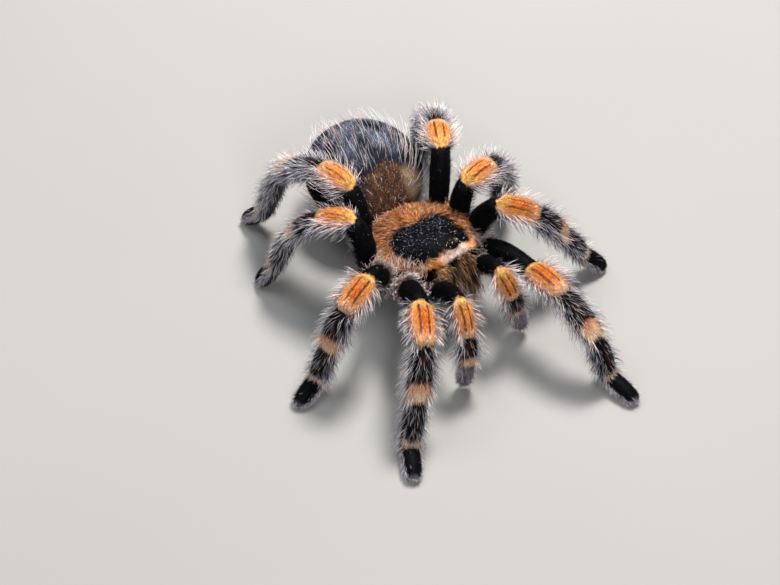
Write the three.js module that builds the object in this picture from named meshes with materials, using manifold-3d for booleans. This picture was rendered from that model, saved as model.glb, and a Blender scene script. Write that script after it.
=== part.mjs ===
// A red-knee tarantula at life size: a large adult female, standing on eight feet with both feelers forward.
// Millimetres, +Z up. The head faces -Y and the spider's left is +X. The floor is the plane Z = 0.
// Each solid is the outer shape of one part of the body, out to the tips of its coat.
import * as THREE from "three";
import { mergeVertices } from "three/addons/utils/BufferGeometryUtils.js";
import Module from "manifold-3d";

const wasm = await Module();
wasm.setup();

// ---- Driving dimensions ----
const CARAPACE = { length: 22.5, width: 23.8, height: 4.6, rimUnder: 0.15, rimOver: 0.6 };
const ABDOMEN = { length: 29.2, width: 28.4, height: 20.2 };
const CHELICERA = {
  length: 9.6,
  width: 5.6,
  height: 6.4,
  pitch: -62,
  tuckedIn: 2.4,
  raised: 0.5,
  aside: -0.9, // both jaws reach a little to the right of the head's middle
};
const FANG = { length: 6.2, radius: 0.85, curl: 95 };
const STERNUM = { length: 12, width: 8.2, height: 6.2, drop: 3.4 };
const EYE_MOUND = { length: 2.3, width: 3.5, height: 2.2 };
const SPINNERET = { length: 5, radius: 0.95, tipRadius: 0.55, apart: 3.2 };
const BODY_HEIGHT = 14.5; // the plane between the carapace and the coxae, at mid body
const BODY_PITCH = 6; // degrees that the coxae and breastplate are raised in front
const COXA_DROP = 2.5; // the hips lie this far under that plane
const GAP = 0.3; // left between neighbouring solids

// How the carapace and the abdomen sit, in millimetres from mid body and in degrees. The head is raised and
// turned a little to the left, and the abdomen swings to the left behind it.
const CARAPACE_SET = { aside: 0.7, back: 0.5, up: BODY_HEIGHT, pitch: -9, roll: 5, yaw: 6 };
const ABDOMEN_SET = { aside: 2.7, back: 25, up: 12.7, pitch: 7, roll: 0, yaw: -9 };

// Each hip, from mid body: how far to the side and how far forward. The feelers' hips are moved aside with
// the head.
const HIPS = {
  leg1: { side: 10.8, forward: 7.0, socketSide: 5.0, socketForward: 4.9 },
  leg2: { side: 12.6, forward: 2.2, socketSide: 6.2, socketForward: 1.4 },
  leg3: { side: 12.4, forward: -3.2, socketSide: 6.1, socketForward: -2.3 },
  leg4: { side: 10.2, forward: -8.6, socketSide: 4.6, socketForward: -5.8 },
  palp: { side: 6.3, forward: 11.5, socketSide: 4.0, socketForward: 8.7, aside: 0.7 },
};

// Joint-to-joint lengths of the segments, from the femur out.
const LENGTHS = {
  leg1: { femur: 15.2, patella: 9.2, tibia: 11.5, metatarsus: 10.7, tarsus: 8.3 },
  leg2: { femur: 13.8, patella: 8.5, tibia: 9.9, metatarsus: 10.4, tarsus: 7.8 },
  leg3: { femur: 12.4, patella: 7.6, tibia: 8.5, metatarsus: 10.9, tarsus: 7.2 },
  leg4: { femur: 15.7, patella: 7.9, tibia: 12.3, metatarsus: 15.5, tarsus: 8.5 },
  palp: { femur: 12.5, patella: 7.6, tibia: 7.5, tarsus: 6.8 },
};

// Half depth of the coated limb at the joint it starts from and at its fullest, how wide it is for its depth,
// and how far it arches, for its length.
const SHAPES = {
  femur: { joint: 2.35, fullest: 2.85, wide: 0.9, arch: 0.085 },
  patella: { joint: 2.45, fullest: 2.75, wide: 1.12, arch: 0.06 },
  tibia: { joint: 2.45, fullest: 3.15, wide: 1.14, arch: 0.02 },
  metatarsus: { joint: 2.35, fullest: 2.8, wide: 1.12, arch: 0.02 },
  tarsus: { joint: 1.95, fullest: 2.3, wide: 1.08, arch: 0.0 },
};
const COXA = { socket: 1.5, fullest: 2.15, hip: 2.2, wide: 0.95 }; // its radii, along its length
const TIP_RADIUS = 1.5;
const PRESS = 0.3; // how far a foot would reach below the floor, were it not flat there
const PALP_GIRTH = 0.78; // the feelers' girth, for the legs'

// The stance in degrees. yaw turns from straight ahead towards the side, lean tips the limb's plane back, and
// rise is each segment's slope, from the femur out. A foot with no slope of its own goes down to the floor.
const STANCE = {
  leg1_left: { yaw: 6, lean: -6, rise: [20, 3, -34, -69] },
  leg2_left: { yaw: 47, lean: -16, rise: [71, -19, -53, -62] },
  leg3_left: { yaw: 100, lean: -7, rise: [92, 0, -50, -82] },
  leg4_left: { yaw: 149, lean: -3, rise: [76, -7, -36, -71] },
  leg1_right: { yaw: 29, lean: -12, rise: [40, -11, -58, -66] },
  leg2_right: { yaw: 68, lean: -11, rise: [53, -12, -70, -80] },
  leg3_right: { yaw: 144, lean: 8, rise: [73, -11, -44, -70] },
  leg4_right: { yaw: 164, lean: 7, rise: [75, 7, -31, -73] },
  palp_left: { yaw: -3, lean: -16, rise: [47, -68, -97, -87] },
  palp_right: { yaw: 11, lean: -4, rise: [40, -48, -79] },
};

const SIDES = [[1, "left"], [-1, "right"]];

const SEGMENT_COLOURS = {
  femur: "black",
  patella: "orange",
  tibia: "grey",
  metatarsus: "grey",
  tarsus: "grey",
};

const MATERIALS = {
  black: new THREE.MeshStandardMaterial({ color: 0x15151b, roughness: 0.7, metalness: 0 }),
  orange: new THREE.MeshStandardMaterial({ color: 0xd9772b, roughness: 0.7, metalness: 0 }),
  grey: new THREE.MeshStandardMaterial({ color: 0x54525a, roughness: 0.85, metalness: 0 }),
  brown: new THREE.MeshStandardMaterial({ color: 0x5a4632, roughness: 0.8, metalness: 0 }),
  fang: new THREE.MeshStandardMaterial({ color: 0x120a08, roughness: 0.25, metalness: 0 }),
};

// ---- Joining and cutting ----
const degrees = THREE.MathUtils.degToRad;
const half = (value) => value / 2;

/** A closed geometry with shared corners merged, as a solid. */
function solid(geometry) {
  const bare = geometry.index ? geometry.toNonIndexed() : geometry.clone();
  bare.deleteAttribute("normal");
  bare.deleteAttribute("uv");
  const merged = mergeVertices(bare, 1e-4);
  return new wasm.Manifold(
    new wasm.Mesh({
      numProp: 3,
      vertProperties: merged.attributes.position.array,
      triVerts: new Uint32Array(merged.index.array),
    }),
  );
}

/** A solid as a geometry again. */
function geometryOf(made) {
  const mesh = made.getMesh();
  const corners = new Float32Array(mesh.numVert * 3);
  for (let i = 0; i < mesh.numVert; i++)
    corners.set(mesh.vertProperties.subarray(i * mesh.numProp, i * mesh.numProp + 3), i * 3);
  const geometry = new THREE.BufferGeometry();
  geometry.setAttribute("position", new THREE.BufferAttribute(corners, 3));
  geometry.setIndex(new THREE.BufferAttribute(new Uint32Array(mesh.triVerts), 1));
  geometry.computeVertexNormals();
  return geometry;
}

/** The half space past a plane, as a large block. The normal points into the block. */
function beyond(point, normal, size = 240) {
  const block = new THREE.BoxGeometry(size, size, size);
  block.translate(0, 0, size / 2);
  block.applyQuaternion(new THREE.Quaternion().setFromUnitVectors(new THREE.Vector3(0, 0, 1), normal));
  block.translate(point.x, point.y, point.z);
  return solid(block);
}

/** Moves every corner of a geometry by a function of its place. */
function shaped(geometry, move) {
  const places = geometry.attributes.position;
  const corner = new THREE.Vector3();
  for (let i = 0; i < places.count; i++) {
    corner.fromBufferAttribute(places, i);
    move(corner);
    places.setXYZ(i, corner.x, corner.y, corner.z);
  }
  return geometry;
}

/** A named mesh of one sub-part. */
function part(name, made, material) {
  const mesh = new THREE.Mesh(geometryOf(made), material);
  mesh.name = name;
  return mesh;
}

// ---- Limbs ----
const BELLY_AT = [0.3, 0.7]; // where along a segment its fullest stretch starts and ends
const DOME_STEPS = 2;

/** A round-ended limb along +Y from the origin, with its back towards +Z. */
function limb(length, start, fullest, end, wide, arch, sides = 9) {
  const outline = [new THREE.Vector2(0, -start)];
  for (let i = 1; i <= DOME_STEPS; i++) {
    const turn = (Math.PI / 2) * (i / DOME_STEPS);
    outline.push(new THREE.Vector2(start * Math.sin(turn), -start * Math.cos(turn)));
  }
  for (const t of BELLY_AT) outline.push(new THREE.Vector2(fullest, length * t));
  for (let i = DOME_STEPS; i >= 1; i--) {
    const turn = (Math.PI / 2) * (i / DOME_STEPS);
    outline.push(new THREE.Vector2(end * Math.sin(turn), length + end * Math.cos(turn)));
  }
  outline.push(new THREE.Vector2(0, length + end));
  return shaped(new THREE.LatheGeometry(outline, sides), (p) => {
    const t = THREE.MathUtils.clamp(p.y / length, 0, 1);
    p.x *= wide;
    p.z += arch * length * Math.sin(Math.PI * t);
  });
}

/** A limb's solid, cut square to the bend at each joint, so that it meets its neighbours. */
function jointed(geometry, length, bendBefore, bendAfter) {
  let made = solid(geometry);
  if (bendBefore !== null) {
    const normal = new THREE.Vector3(0, -Math.cos(half(bendBefore)), Math.sin(half(bendBefore)));
    made = made.subtract(beyond(normal.clone().multiplyScalar(-half(GAP)), normal));
  }
  if (bendAfter !== null) {
    const normal = new THREE.Vector3(0, Math.cos(half(bendAfter)), Math.sin(half(bendAfter)));
    const joint = new THREE.Vector3(0, length, 0).addScaledVector(normal, -half(GAP));
    made = made.subtract(beyond(joint, normal));
  }
  return made;
}

/** Each segment's slope in radians. A foot's own is what brings its tip down to the floor. */
function slopesOf(stance, lengths, hipHeight, tip) {
  const slopes = stance.rise.map(degrees);
  if (slopes.length === lengths.length) return slopes;
  const upright = Math.cos(degrees(stance.lean));
  const rises = slopes.map((slope, i) => lengths[i][1] * Math.sin(slope) * upright);
  const ankle = rises.reduce((height, rise) => height + rise, hipHeight);
  const reach = (lengths.at(-1)[1] - tip) * upright;
  const drop = THREE.MathUtils.clamp((ankle + PRESS - tip) / reach, -1, 1);
  return [...slopes, -Math.asin(drop)];
}

/** The hip's place and the coxa's inner end, from mid body on the body's own plane. */
function hipPlaces(kind, side) {
  const hip = HIPS[kind];
  const aside = hip.aside ?? 0;
  return {
    hip: new THREE.Vector3(side * hip.side + aside, -hip.forward, -COXA_DROP),
    socket: new THREE.Vector3(side * hip.socketSide + aside, -hip.socketForward, -COXA_DROP - 0.6),
  };
}

/** A limb's own directions: across it, along the ground outwards, and up its back. */
function limbAxes(stance, side) {
  const yaw = degrees(stance.yaw);
  const lean = degrees(stance.lean);
  const out = new THREE.Vector3(side * Math.sin(yaw), -Math.cos(yaw), 0);
  const back = new THREE.Vector3(side * Math.cos(yaw), Math.sin(yaw), 0);
  const up = new THREE.Vector3(0, 0, Math.cos(lean)).addScaledVector(back, Math.sin(lean));
  return new THREE.Matrix4().makeBasis(new THREE.Vector3().crossVectors(out, up), out, up);
}

/** One leg or feeler: a chain of groups, one inside the other, with a mesh for each segment. */
function limbChain(name, kind, side, prosoma, covers) {
  const stance = STANCE[name];
  const girth = kind === "palp" ? PALP_GIRTH : 1;
  const lengths = Object.entries(LENGTHS[kind]);
  const places = hipPlaces(kind, side);
  const chain = new THREE.Group();
  chain.position.copy(places.hip).applyMatrix4(prosoma.matrix);
  chain.quaternion.setFromRotationMatrix(limbAxes(stance, side));
  const tip = TIP_RADIUS * Math.sqrt(girth);
  const slopes = slopesOf(stance, lengths, chain.position.z, tip);

  let holder = chain;
  lengths.forEach(([segment, length], i) => {
    const turned = new THREE.Group();
    const next = lengths[i + 1];
    const bendBefore = i ? slopes[i] - slopes[i - 1] : null;
    const bendAfter = next ? slopes[i + 1] - slopes[i] : null;
    turned.rotation.x = bendBefore ?? slopes[i];
    turned.position.y = i ? lengths[i - 1][1] : 0;
    holder.add(turned);
    holder = turned;
    turned.updateWorldMatrix(true, false);

    const shape = SHAPES[segment];
    const end = next ? SHAPES[next[0]].joint * girth : tip;
    const straight = next ? length : length - end;
    const body = limb(straight, shape.joint * girth, shape.fullest * girth, end, shape.wide, shape.arch);
    let made = jointed(body, length, bendBefore, bendAfter);
    if (!i) made = withCoxa(made, places, prosoma, turned, girth, covers);
    if (!next) made = onFloor(made, turned);
    turned.add(part(`${name}_${segment}`, made, MATERIALS[SEGMENT_COLOURS[segment]]));
  });
  return chain;
}

/** A femur with its coxa and trochanter, from the breastplate's edge out to the hip, clear of the covers. */
function withCoxa(femur, places, prosoma, holder, girth, covers) {
  const toFemur = holder.matrixWorld.clone().invert();
  const from = places.socket.clone().applyMatrix4(prosoma.matrix).applyMatrix4(toFemur);
  const to = places.hip.clone().applyMatrix4(prosoma.matrix).applyMatrix4(toFemur);
  const fat = Math.sqrt(girth);
  const body = limb(from.distanceTo(to), COXA.socket, COXA.fullest * fat, COXA.hip * fat, COXA.wide, 0, 7);
  const along = to.clone().sub(from).normalize();
  body.applyQuaternion(new THREE.Quaternion().setFromUnitVectors(new THREE.Vector3(0, 1, 0), along));
  body.translate(from.x, from.y, from.z);
  let made = femur.add(solid(body));
  for (const cover of covers) made = made.subtract(solid(cover.clone().applyMatrix4(toFemur)));
  return made;
}

/** Cuts a foot's underside flat where it would reach below the floor. */
function onFloor(made, segment) {
  const toLocal = segment.matrixWorld.clone().invert();
  const floor = new THREE.Vector3(0, 0, 0).applyMatrix4(toLocal);
  const down = new THREE.Vector3(0, 0, -1).transformDirection(toLocal);
  return made.subtract(beyond(floor, down));
}

// ---- The body ----
/** The carapace's half width at a place along it, from -1 at the rear edge to 1 at the blunt front. */
function carapaceHalfWidth(forward) {
  const headWidth = 0.67; // for the whole carapace's width
  const head = THREE.MathUtils.smoothstep(forward, 0.1, 0.95);
  const round = Math.sqrt(Math.max(0, 1 - Math.abs(forward) ** 2.4));
  const blunt = Math.sqrt(Math.max(0, 1 - Math.abs(forward) ** 6)) ** 0.4;
  return half(CARAPACE.width) * (round * (1 - head) + headWidth * blunt * head);
}

/** The carapace: a low dome, higher over the head, dimpled behind. Odd rings give it a thick edge. */
function carapace(lift = 0, sides = 22, rings = 9) {
  const dimple = { depth: 0.9, at: -0.22, width: 0.16, length: 0.1 };
  const dome = new THREE.SphereGeometry(1, sides, rings);
  dome.rotateX(half(Math.PI));
  return shaped(dome, (p) => {
    const forward = -p.y;
    const rim = Math.sqrt(Math.max(0, 1 - forward * forward));
    const across = rim > 1e-6 ? p.x / rim : 0;
    const crown = rim > 1e-6 ? Math.max(p.z / rim, 0) ** 1.24 : 0;
    const rise = 0.86 + 0.36 * THREE.MathUtils.smoothstep(forward, -0.6, 0.7);
    const fromDimple = Math.hypot(p.x / dimple.width, (forward - dimple.at) / dimple.length);
    const sink = dimple.depth * Math.exp(-(fromDimple ** 2));
    const top = CARAPACE.rimOver + rim ** 0.85 * crown * CARAPACE.height * rise - sink;
    p.set(
      across * carapaceHalfWidth(forward),
      -forward * half(CARAPACE.length),
      lift + (p.z > 0 ? top : CARAPACE.rimUnder),
    );
  });
}

/** A coarser carapace, grown by the gap and by what its flats lose, to cut the neighbours clear of it. */
function coverOver(placed) {
  const clear = GAP + 0.3;
  const cover = shaped(carapace(0, 18, 7), (p) => {
    p.x *= 1 + clear / half(CARAPACE.width);
    p.y *= 1 + clear / half(CARAPACE.length);
    p.z += p.z > half(CARAPACE.rimUnder + CARAPACE.rimOver) ? clear : -clear;
  });
  return cover.applyMatrix4(placed);
}

/** The breastplate between the coxae, with the lower lip in front and the narrow waist behind. */
function breastplate(clear) {
  const boss = new THREE.SphereGeometry(1, 12, 7);
  boss.rotateX(half(Math.PI));
  shaped(boss, (p) => {
    const full = Math.sign(p.z) * Math.abs(p.z) ** 0.6;
    p.set(p.x * half(STERNUM.width), p.y * half(STERNUM.length), full * half(STERNUM.height) - STERNUM.drop);
  });
  const lip = new THREE.SphereGeometry(1, 8, 6);
  lip.scale(1.25, 1.6, 1.3);
  lip.translate(0, -half(STERNUM.length) - 0.2, -STERNUM.drop - 1.2);
  const waist = limb(5, 1.4, 1.3, 1.2, 1, 0, 8);
  waist.rotateX(degrees(12));
  waist.translate(0, half(STERNUM.length) - 1, -STERNUM.drop + 1.2);
  const made = solid(boss).add(solid(lip)).add(solid(waist));
  return clear.reduce((left, neighbour) => left.subtract(solid(neighbour)), made);
}

/** The abdomen: an egg, broadest behind the middle, with its front end towards -Y. */
function abdomen(grow = 0) {
  const egg = new THREE.SphereGeometry(1, 18, 11);
  egg.rotateX(-half(Math.PI));
  return shaped(egg, (p) => {
    const narrow = 1 - 0.05 * (1 - p.y) - 0.06 * Math.max(0, -p.y) ** 2;
    const flatter = p.z < 0 ? 0.92 : 1; // underneath
    p.x *= (half(ABDOMEN.width) + grow) * narrow;
    p.z *= (half(ABDOMEN.height) + grow) * narrow * flatter;
    p.y *= half(ABDOMEN.length) + grow;
  });
}

/** A chelicera: the stout basal joint of a jaw, along +Y, fullest over its base. */
function chelicera(grow = 0) {
  const jaw = new THREE.SphereGeometry(1, 10, 9);
  jaw.rotateX(-half(Math.PI));
  return shaped(jaw, (p) => {
    const along = p.y;
    const swell = Math.max(1e-6, 1 - along * along) ** -0.175;
    p.x *= (half(CHELICERA.width) + grow) * swell;
    p.z = p.z * (half(CHELICERA.height) * (1 - 0.22 * along) + grow) * swell - 0.5 * along;
    p.y = half(CHELICERA.length) * (1 + Math.sign(along) * Math.abs(along) ** 0.8) + grow * along;
  });
}

/** A fang: a cone that starts along +Y and curls back in an arc. */
function fang() {
  const outline = [new THREE.Vector2(0, 0)];
  for (const t of [0, 0.25, 0.5, 0.75, 1])
    outline.push(new THREE.Vector2(FANG.radius * (1 - t) ** 0.6, FANG.length * t));
  const curl = degrees(FANG.curl);
  const bend = FANG.length / curl; // the arc's radius
  return shaped(new THREE.LatheGeometry(outline, 8), (p) => {
    const turn = (p.y / FANG.length) * curl;
    const outer = bend + p.z;
    p.y = outer * Math.sin(turn);
    p.z = outer * Math.cos(turn) - bend;
  });
}

/** The eye mound, with four eye lenses on each side of it. */
function eyeMound() {
  const mound = new THREE.SphereGeometry(1, 10, 6);
  mound.scale(half(EYE_MOUND.width), half(EYE_MOUND.length), half(EYE_MOUND.height));
  const eyes = [
    { x: 0.55, y: -0.45, z: 0.86, size: 0.42 },
    { x: 1.3, y: -0.75, z: 0.32, size: 0.38 },
    { x: 0.95, y: 0.5, z: 0.6, size: 0.3 },
    { x: 1.5, y: 0.25, z: 0.35, size: 0.36 },
  ];
  let made = solid(mound);
  for (const eye of eyes)
    for (const [side] of SIDES) {
      const lens = new THREE.SphereGeometry(eye.size, 6, 3);
      lens.translate(side * eye.x, eye.y, eye.z);
      made = made.add(solid(lens));
    }
  return made;
}

/** The eye mound in its place, behind the carapace's front edge and clear of it. */
function moundGroup() {
  const group = new THREE.Group();
  group.position.set(0, -half(CARAPACE.length) * 0.8, CARAPACE.height * 0.87);
  group.updateMatrix();
  const under = carapace(GAP).applyMatrix4(group.matrix.clone().invert());
  group.add(part("eye_mound", eyeMound().subtract(solid(under)), MATERIALS.black));
  return group;
}

/** One jaw: its chelicera, tucked under the carapace's front edge, with the fang folded back beneath it. */
function jawGroup(side, word) {
  const jaw = new THREE.Group();
  jaw.position.x = side * half(CHELICERA.width + GAP) + CHELICERA.aside;
  jaw.position.y = CHELICERA.tuckedIn - half(CARAPACE.length);
  jaw.position.z = CHELICERA.raised;
  jaw.rotation.order = "ZXY";
  jaw.rotation.set(degrees(CHELICERA.pitch), 0, Math.PI);
  jaw.updateMatrix();
  const shield = coverOver(jaw.matrix.clone().invert());
  jaw.add(part(`chelicera_${word}`, solid(chelicera()).subtract(solid(shield)), MATERIALS.brown));

  const claw = new THREE.Group();
  claw.position.set(0, CHELICERA.length - 1.9, -half(CHELICERA.height) - 0.1);
  claw.rotation.x = degrees(-80);
  claw.add(part(`fang_${word}`, solid(fang()), MATERIALS.fang));
  jaw.add(claw);
  return jaw;
}

/** A group in its place: turned by its roll, pitch and yaw, and moved from mid body. */
function setGroup(set) {
  const group = new THREE.Group();
  group.position.set(set.aside, set.back, set.up);
  group.rotation.order = "ZXY";
  group.rotation.set(degrees(set.pitch), degrees(set.roll), degrees(set.yaw));
  group.updateMatrix();
  return group;
}

/** One spinneret: a finger that points back from under the abdomen's end. */
function spinneret(side) {
  const finger = limb(SPINNERET.length, SPINNERET.radius, SPINNERET.radius, SPINNERET.tipRadius, 1, 0, 6);
  finger.rotateX(degrees(-14));
  finger.rotateZ(degrees(-16 * side));
  finger.translate(side * half(SPINNERET.apart), half(ABDOMEN.length) * 0.86, -half(ABDOMEN.height) * 0.42);
  return solid(finger).subtract(solid(abdomen(GAP)));
}

/** The whole spider, standing on the floor with mid body over the origin. */
function tarantula() {
  const spider = new THREE.Group();
  const prosoma = setGroup({ aside: 0, back: 0, up: BODY_HEIGHT, pitch: -BODY_PITCH, roll: 0, yaw: 0 });
  const shield = setGroup(CARAPACE_SET);
  const rear = setGroup(ABDOMEN_SET);
  spider.add(prosoma, shield, rear);

  const intoBody = prosoma.matrix.clone().invert();
  const intoRear = rear.matrix.clone().invert();
  const clearOfAbdomen = abdomen(GAP).applyMatrix4(rear.matrix).applyMatrix4(intoBody);
  shield.add(part("carapace", solid(carapace()), MATERIALS.black));
  shield.add(moundGroup());
  const clear = [clearOfAbdomen, coverOver(shield.matrix).applyMatrix4(intoBody)];

  const shieldOverRear = coverOver(intoRear.multiply(shield.matrix));
  rear.add(part("abdomen", solid(abdomen()).subtract(solid(shieldOverRear)), MATERIALS.black));

  const covers = [coverOver(shield.matrix)];
  for (const [side, word] of SIDES) {
    const jaw = jawGroup(side, word);
    shield.add(jaw);
    const around = chelicera(GAP).applyMatrix4(jaw.matrix).applyMatrix4(shield.matrix);
    covers.push(around);
    clear.push(around.clone().applyMatrix4(intoBody));
    rear.add(part(`spinneret_${word}`, spinneret(side), MATERIALS.grey));
  }
  prosoma.add(part("sternum", breastplate(clear), MATERIALS.black));
  for (const kind of Object.keys(HIPS))
    for (const [side, word] of SIDES) spider.add(limbChain(`${kind}_${word}`, kind, side, prosoma, covers));
  return spider;
}

/** Puts the middle of the spider's footprint over the origin. */
function centred(spider) {
  spider.updateWorldMatrix(true, true);
  const box = new THREE.Box3().setFromObject(spider, true);
  const middle = box.getCenter(new THREE.Vector3());
  spider.position.set(-middle.x, -middle.y, -box.min.z);
  const whole = new THREE.Group();
  whole.add(spider);
  return whole;
}

export default centred(tarantula());
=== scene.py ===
"""A red-knee tarantula at life size: one skin, a coat of solid hairs, eyes, fangs and claws.

Lengths are millimetres until they reach a mesh, which holds metres. The head faces -Y, the spider's left
is +X and the floor is the plane Z = 0.
"""

import logging
import math
from collections.abc import Callable, Iterable, Iterator, Sequence
from dataclasses import dataclass, field
from enum import Enum, IntEnum

import bpy
import numpy as np
from mathutils import Matrix, Vector


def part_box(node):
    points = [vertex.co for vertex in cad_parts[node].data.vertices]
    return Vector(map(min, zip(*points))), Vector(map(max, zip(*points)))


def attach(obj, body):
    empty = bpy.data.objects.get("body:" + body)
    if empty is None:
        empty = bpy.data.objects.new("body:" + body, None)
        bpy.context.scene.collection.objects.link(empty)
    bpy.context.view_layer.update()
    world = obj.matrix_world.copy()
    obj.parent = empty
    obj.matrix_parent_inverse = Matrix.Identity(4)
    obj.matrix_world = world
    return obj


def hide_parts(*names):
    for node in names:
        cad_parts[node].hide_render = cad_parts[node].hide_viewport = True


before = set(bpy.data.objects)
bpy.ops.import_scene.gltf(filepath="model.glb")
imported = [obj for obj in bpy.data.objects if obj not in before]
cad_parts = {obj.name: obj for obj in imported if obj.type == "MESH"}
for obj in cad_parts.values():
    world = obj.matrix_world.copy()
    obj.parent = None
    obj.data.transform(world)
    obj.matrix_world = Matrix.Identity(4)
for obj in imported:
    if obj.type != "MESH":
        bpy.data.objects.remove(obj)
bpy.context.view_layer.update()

log = logging.getLogger("tarantula")

MM = 0.001
Array = np.ndarray
Pair = tuple[float, float]
Piece = bpy.types.Object
Socket = bpy.types.NodeSocket


# ---- The body's plan ----
class Region(IntEnum):
    """The kinds of body part, which differ in form and in coat."""

    CARAPACE = 0
    MOUND = 1
    JAW = 2
    BREAST = 3
    ABDOMEN = 4
    SPINNERET = 5
    COXA = 6
    FEMUR = 7
    PATELLA = 8
    TIBIA = 9
    METATARSUS = 10
    TARSUS = 11


@dataclass(frozen=True)
class BodySizes:
    """The body's driving dimensions, out to the tips of its short fur."""

    carapace_length: float = 22.5
    carapace_width: float = 23.8
    carapace_height: float = 4.6
    carapace_rim: float = 0.6
    height: float = 14.5
    pitch: float = -6.0
    abdomen_length: float = 29.2
    abdomen_width: float = 28.4
    abdomen_height: float = 20.2
    jaw_length: float = 9.6
    jaw_width: float = 5.6
    jaw_height: float = 6.4
    jaw_pitch: float = -62.0
    jaw_tucked: float = 2.4
    jaw_raised: float = 0.5
    jaw_aside: float = -0.9
    gap: float = 0.3


@dataclass(frozen=True)
class Seat:
    """How a part sits: its place from mid body and the floor, and its turns in degrees."""

    aside: float
    back: float
    up: float
    pitch: float
    roll: float
    yaw: float

    @property
    def placed(self) -> "Array":
        """The seat as a 4 by 4 placement: rolled, then pitched, then yawed, then moved."""
        turn = turned(z=self.yaw) @ turned(x=self.pitch) @ turned(y=self.roll)
        return moved(self.aside, self.back, self.up) @ turn


CARAPACE_SEAT = Seat(0.7, 0.5, 14.5, -9, 5, 6)
ABDOMEN_SEAT = Seat(2.7, 25, 12.7, 7, 0, -9)
CARAPACE_BOX = (0.722, 0.56)  # the middle of the seated carapace's box, from mid body


@dataclass(frozen=True)
class Hip:
    """Where a limb leaves the body, from mid body: the hip itself, the coxa's inner end and a shift aside."""

    side: float
    forward: float
    socket_side: float
    socket_forward: float
    aside: float = 0.0


@dataclass(frozen=True)
class Stance:
    """A limb's pose in degrees: its turn from straight ahead, its plane's lean and each segment's slope."""

    yaw: float
    lean: float
    rise: tuple[float, ...]


@dataclass(frozen=True)
class SegmentShape:
    """A limb segment's half depth at its start and fullest, its width for its depth, its arch and coat."""

    joint: float
    fullest: float
    wide: float
    arch: float
    coat: float


HIPS = {
    "leg1": Hip(10.8, 7.0, 5.0, 4.9),
    "leg2": Hip(12.6, 2.2, 6.2, 1.4),
    "leg3": Hip(12.4, -3.2, 6.1, -2.3),
    "leg4": Hip(10.2, -8.6, 4.6, -5.8),
    "palp": Hip(6.3, 11.5, 4.0, 8.7, 0.7),
}
LENGTHS = {
    "leg1": (15.2, 9.2, 11.5, 10.7, 8.3),
    "leg2": (13.8, 8.5, 9.9, 10.4, 7.8),
    "leg3": (12.4, 7.6, 8.5, 10.9, 7.2),
    "leg4": (15.7, 7.9, 12.3, 15.5, 8.5),
    "palp": (12.5, 7.6, 7.5, 6.8),
}
STANCES = {
    ("leg1", 1): Stance(6, -6, (20, 3, -34, -69)),
    ("leg2", 1): Stance(47, -16, (71, -19, -53, -62)),
    ("leg3", 1): Stance(100, -7, (92, 0, -50, -82)),
    ("leg4", 1): Stance(149, -3, (76, -7, -36, -71)),
    ("leg1", -1): Stance(29, -12, (40, -11, -58, -66)),
    ("leg2", -1): Stance(68, -11, (53, -12, -70, -80)),
    ("leg3", -1): Stance(144, 8, (73, -11, -44, -70)),
    ("leg4", -1): Stance(164, 7, (75, 7, -31, -73)),
    ("palp", 1): Stance(-3, -16, (47, -68, -97, -87)),
    ("palp", -1): Stance(11, -4, (40, -48, -79)),
}
SHAPES = {
    Region.FEMUR: SegmentShape(2.35, 2.85, 0.9, 0.085, 0.5),
    Region.PATELLA: SegmentShape(2.45, 2.75, 1.12, 0.06, 0.5),
    Region.TIBIA: SegmentShape(2.45, 3.15, 1.14, 0.02, 1.05),
    Region.METATARSUS: SegmentShape(2.35, 2.8, 1.12, 0.02, 0.95),
    Region.TARSUS: SegmentShape(1.95, 2.3, 1.08, 0.0, 0.45),
}
LEG_REGIONS = (Region.FEMUR, Region.PATELLA, Region.TIBIA, Region.METATARSUS, Region.TARSUS)
PALP_REGIONS = (Region.FEMUR, Region.PATELLA, Region.TIBIA, Region.TARSUS)
PALP_GIRTH = 0.78  # a feeler's girth, for a leg's
TIP_RADIUS = 1.5  # a foot's radius at its tip
PRESS = 0.3  # how far a foot is pressed into the floor before its sole is made flat
SOLE = 0.02  # how high the skin's flats lie over the floor
COXA_RINGS = (
    (0.25, 0.93, 1.0), (0.5, 0.97, 1.04), (0.66, 0.95, 1.0),
    (0.72, 0.86, 0.9), (0.8, 0.96, 1.0), (0.95, 0.98, 1.03),
)  # each ring's place along the coxa, and its half width and height for the coxa's girth
COXA_DROP = 2.5  # how far the hips lie under the body's middle
SOCKET_DROP = 3.1  # how far the coxae's inner ends lie under it
BROW_AT = 10.45  # how far ahead of its middle the carapace's brow ends, over the jaws
BROW_UNDER = 1.5  # how high the brow's lower edge lies
SIDES = ((1, "left"), (-1, "right"))


@dataclass(frozen=True)
class Ring:
    """One ring of a form: its place along, its half width and half height, and its centre's rise."""

    at: float
    wide: float
    high: float
    rise: float = 0.0


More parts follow.
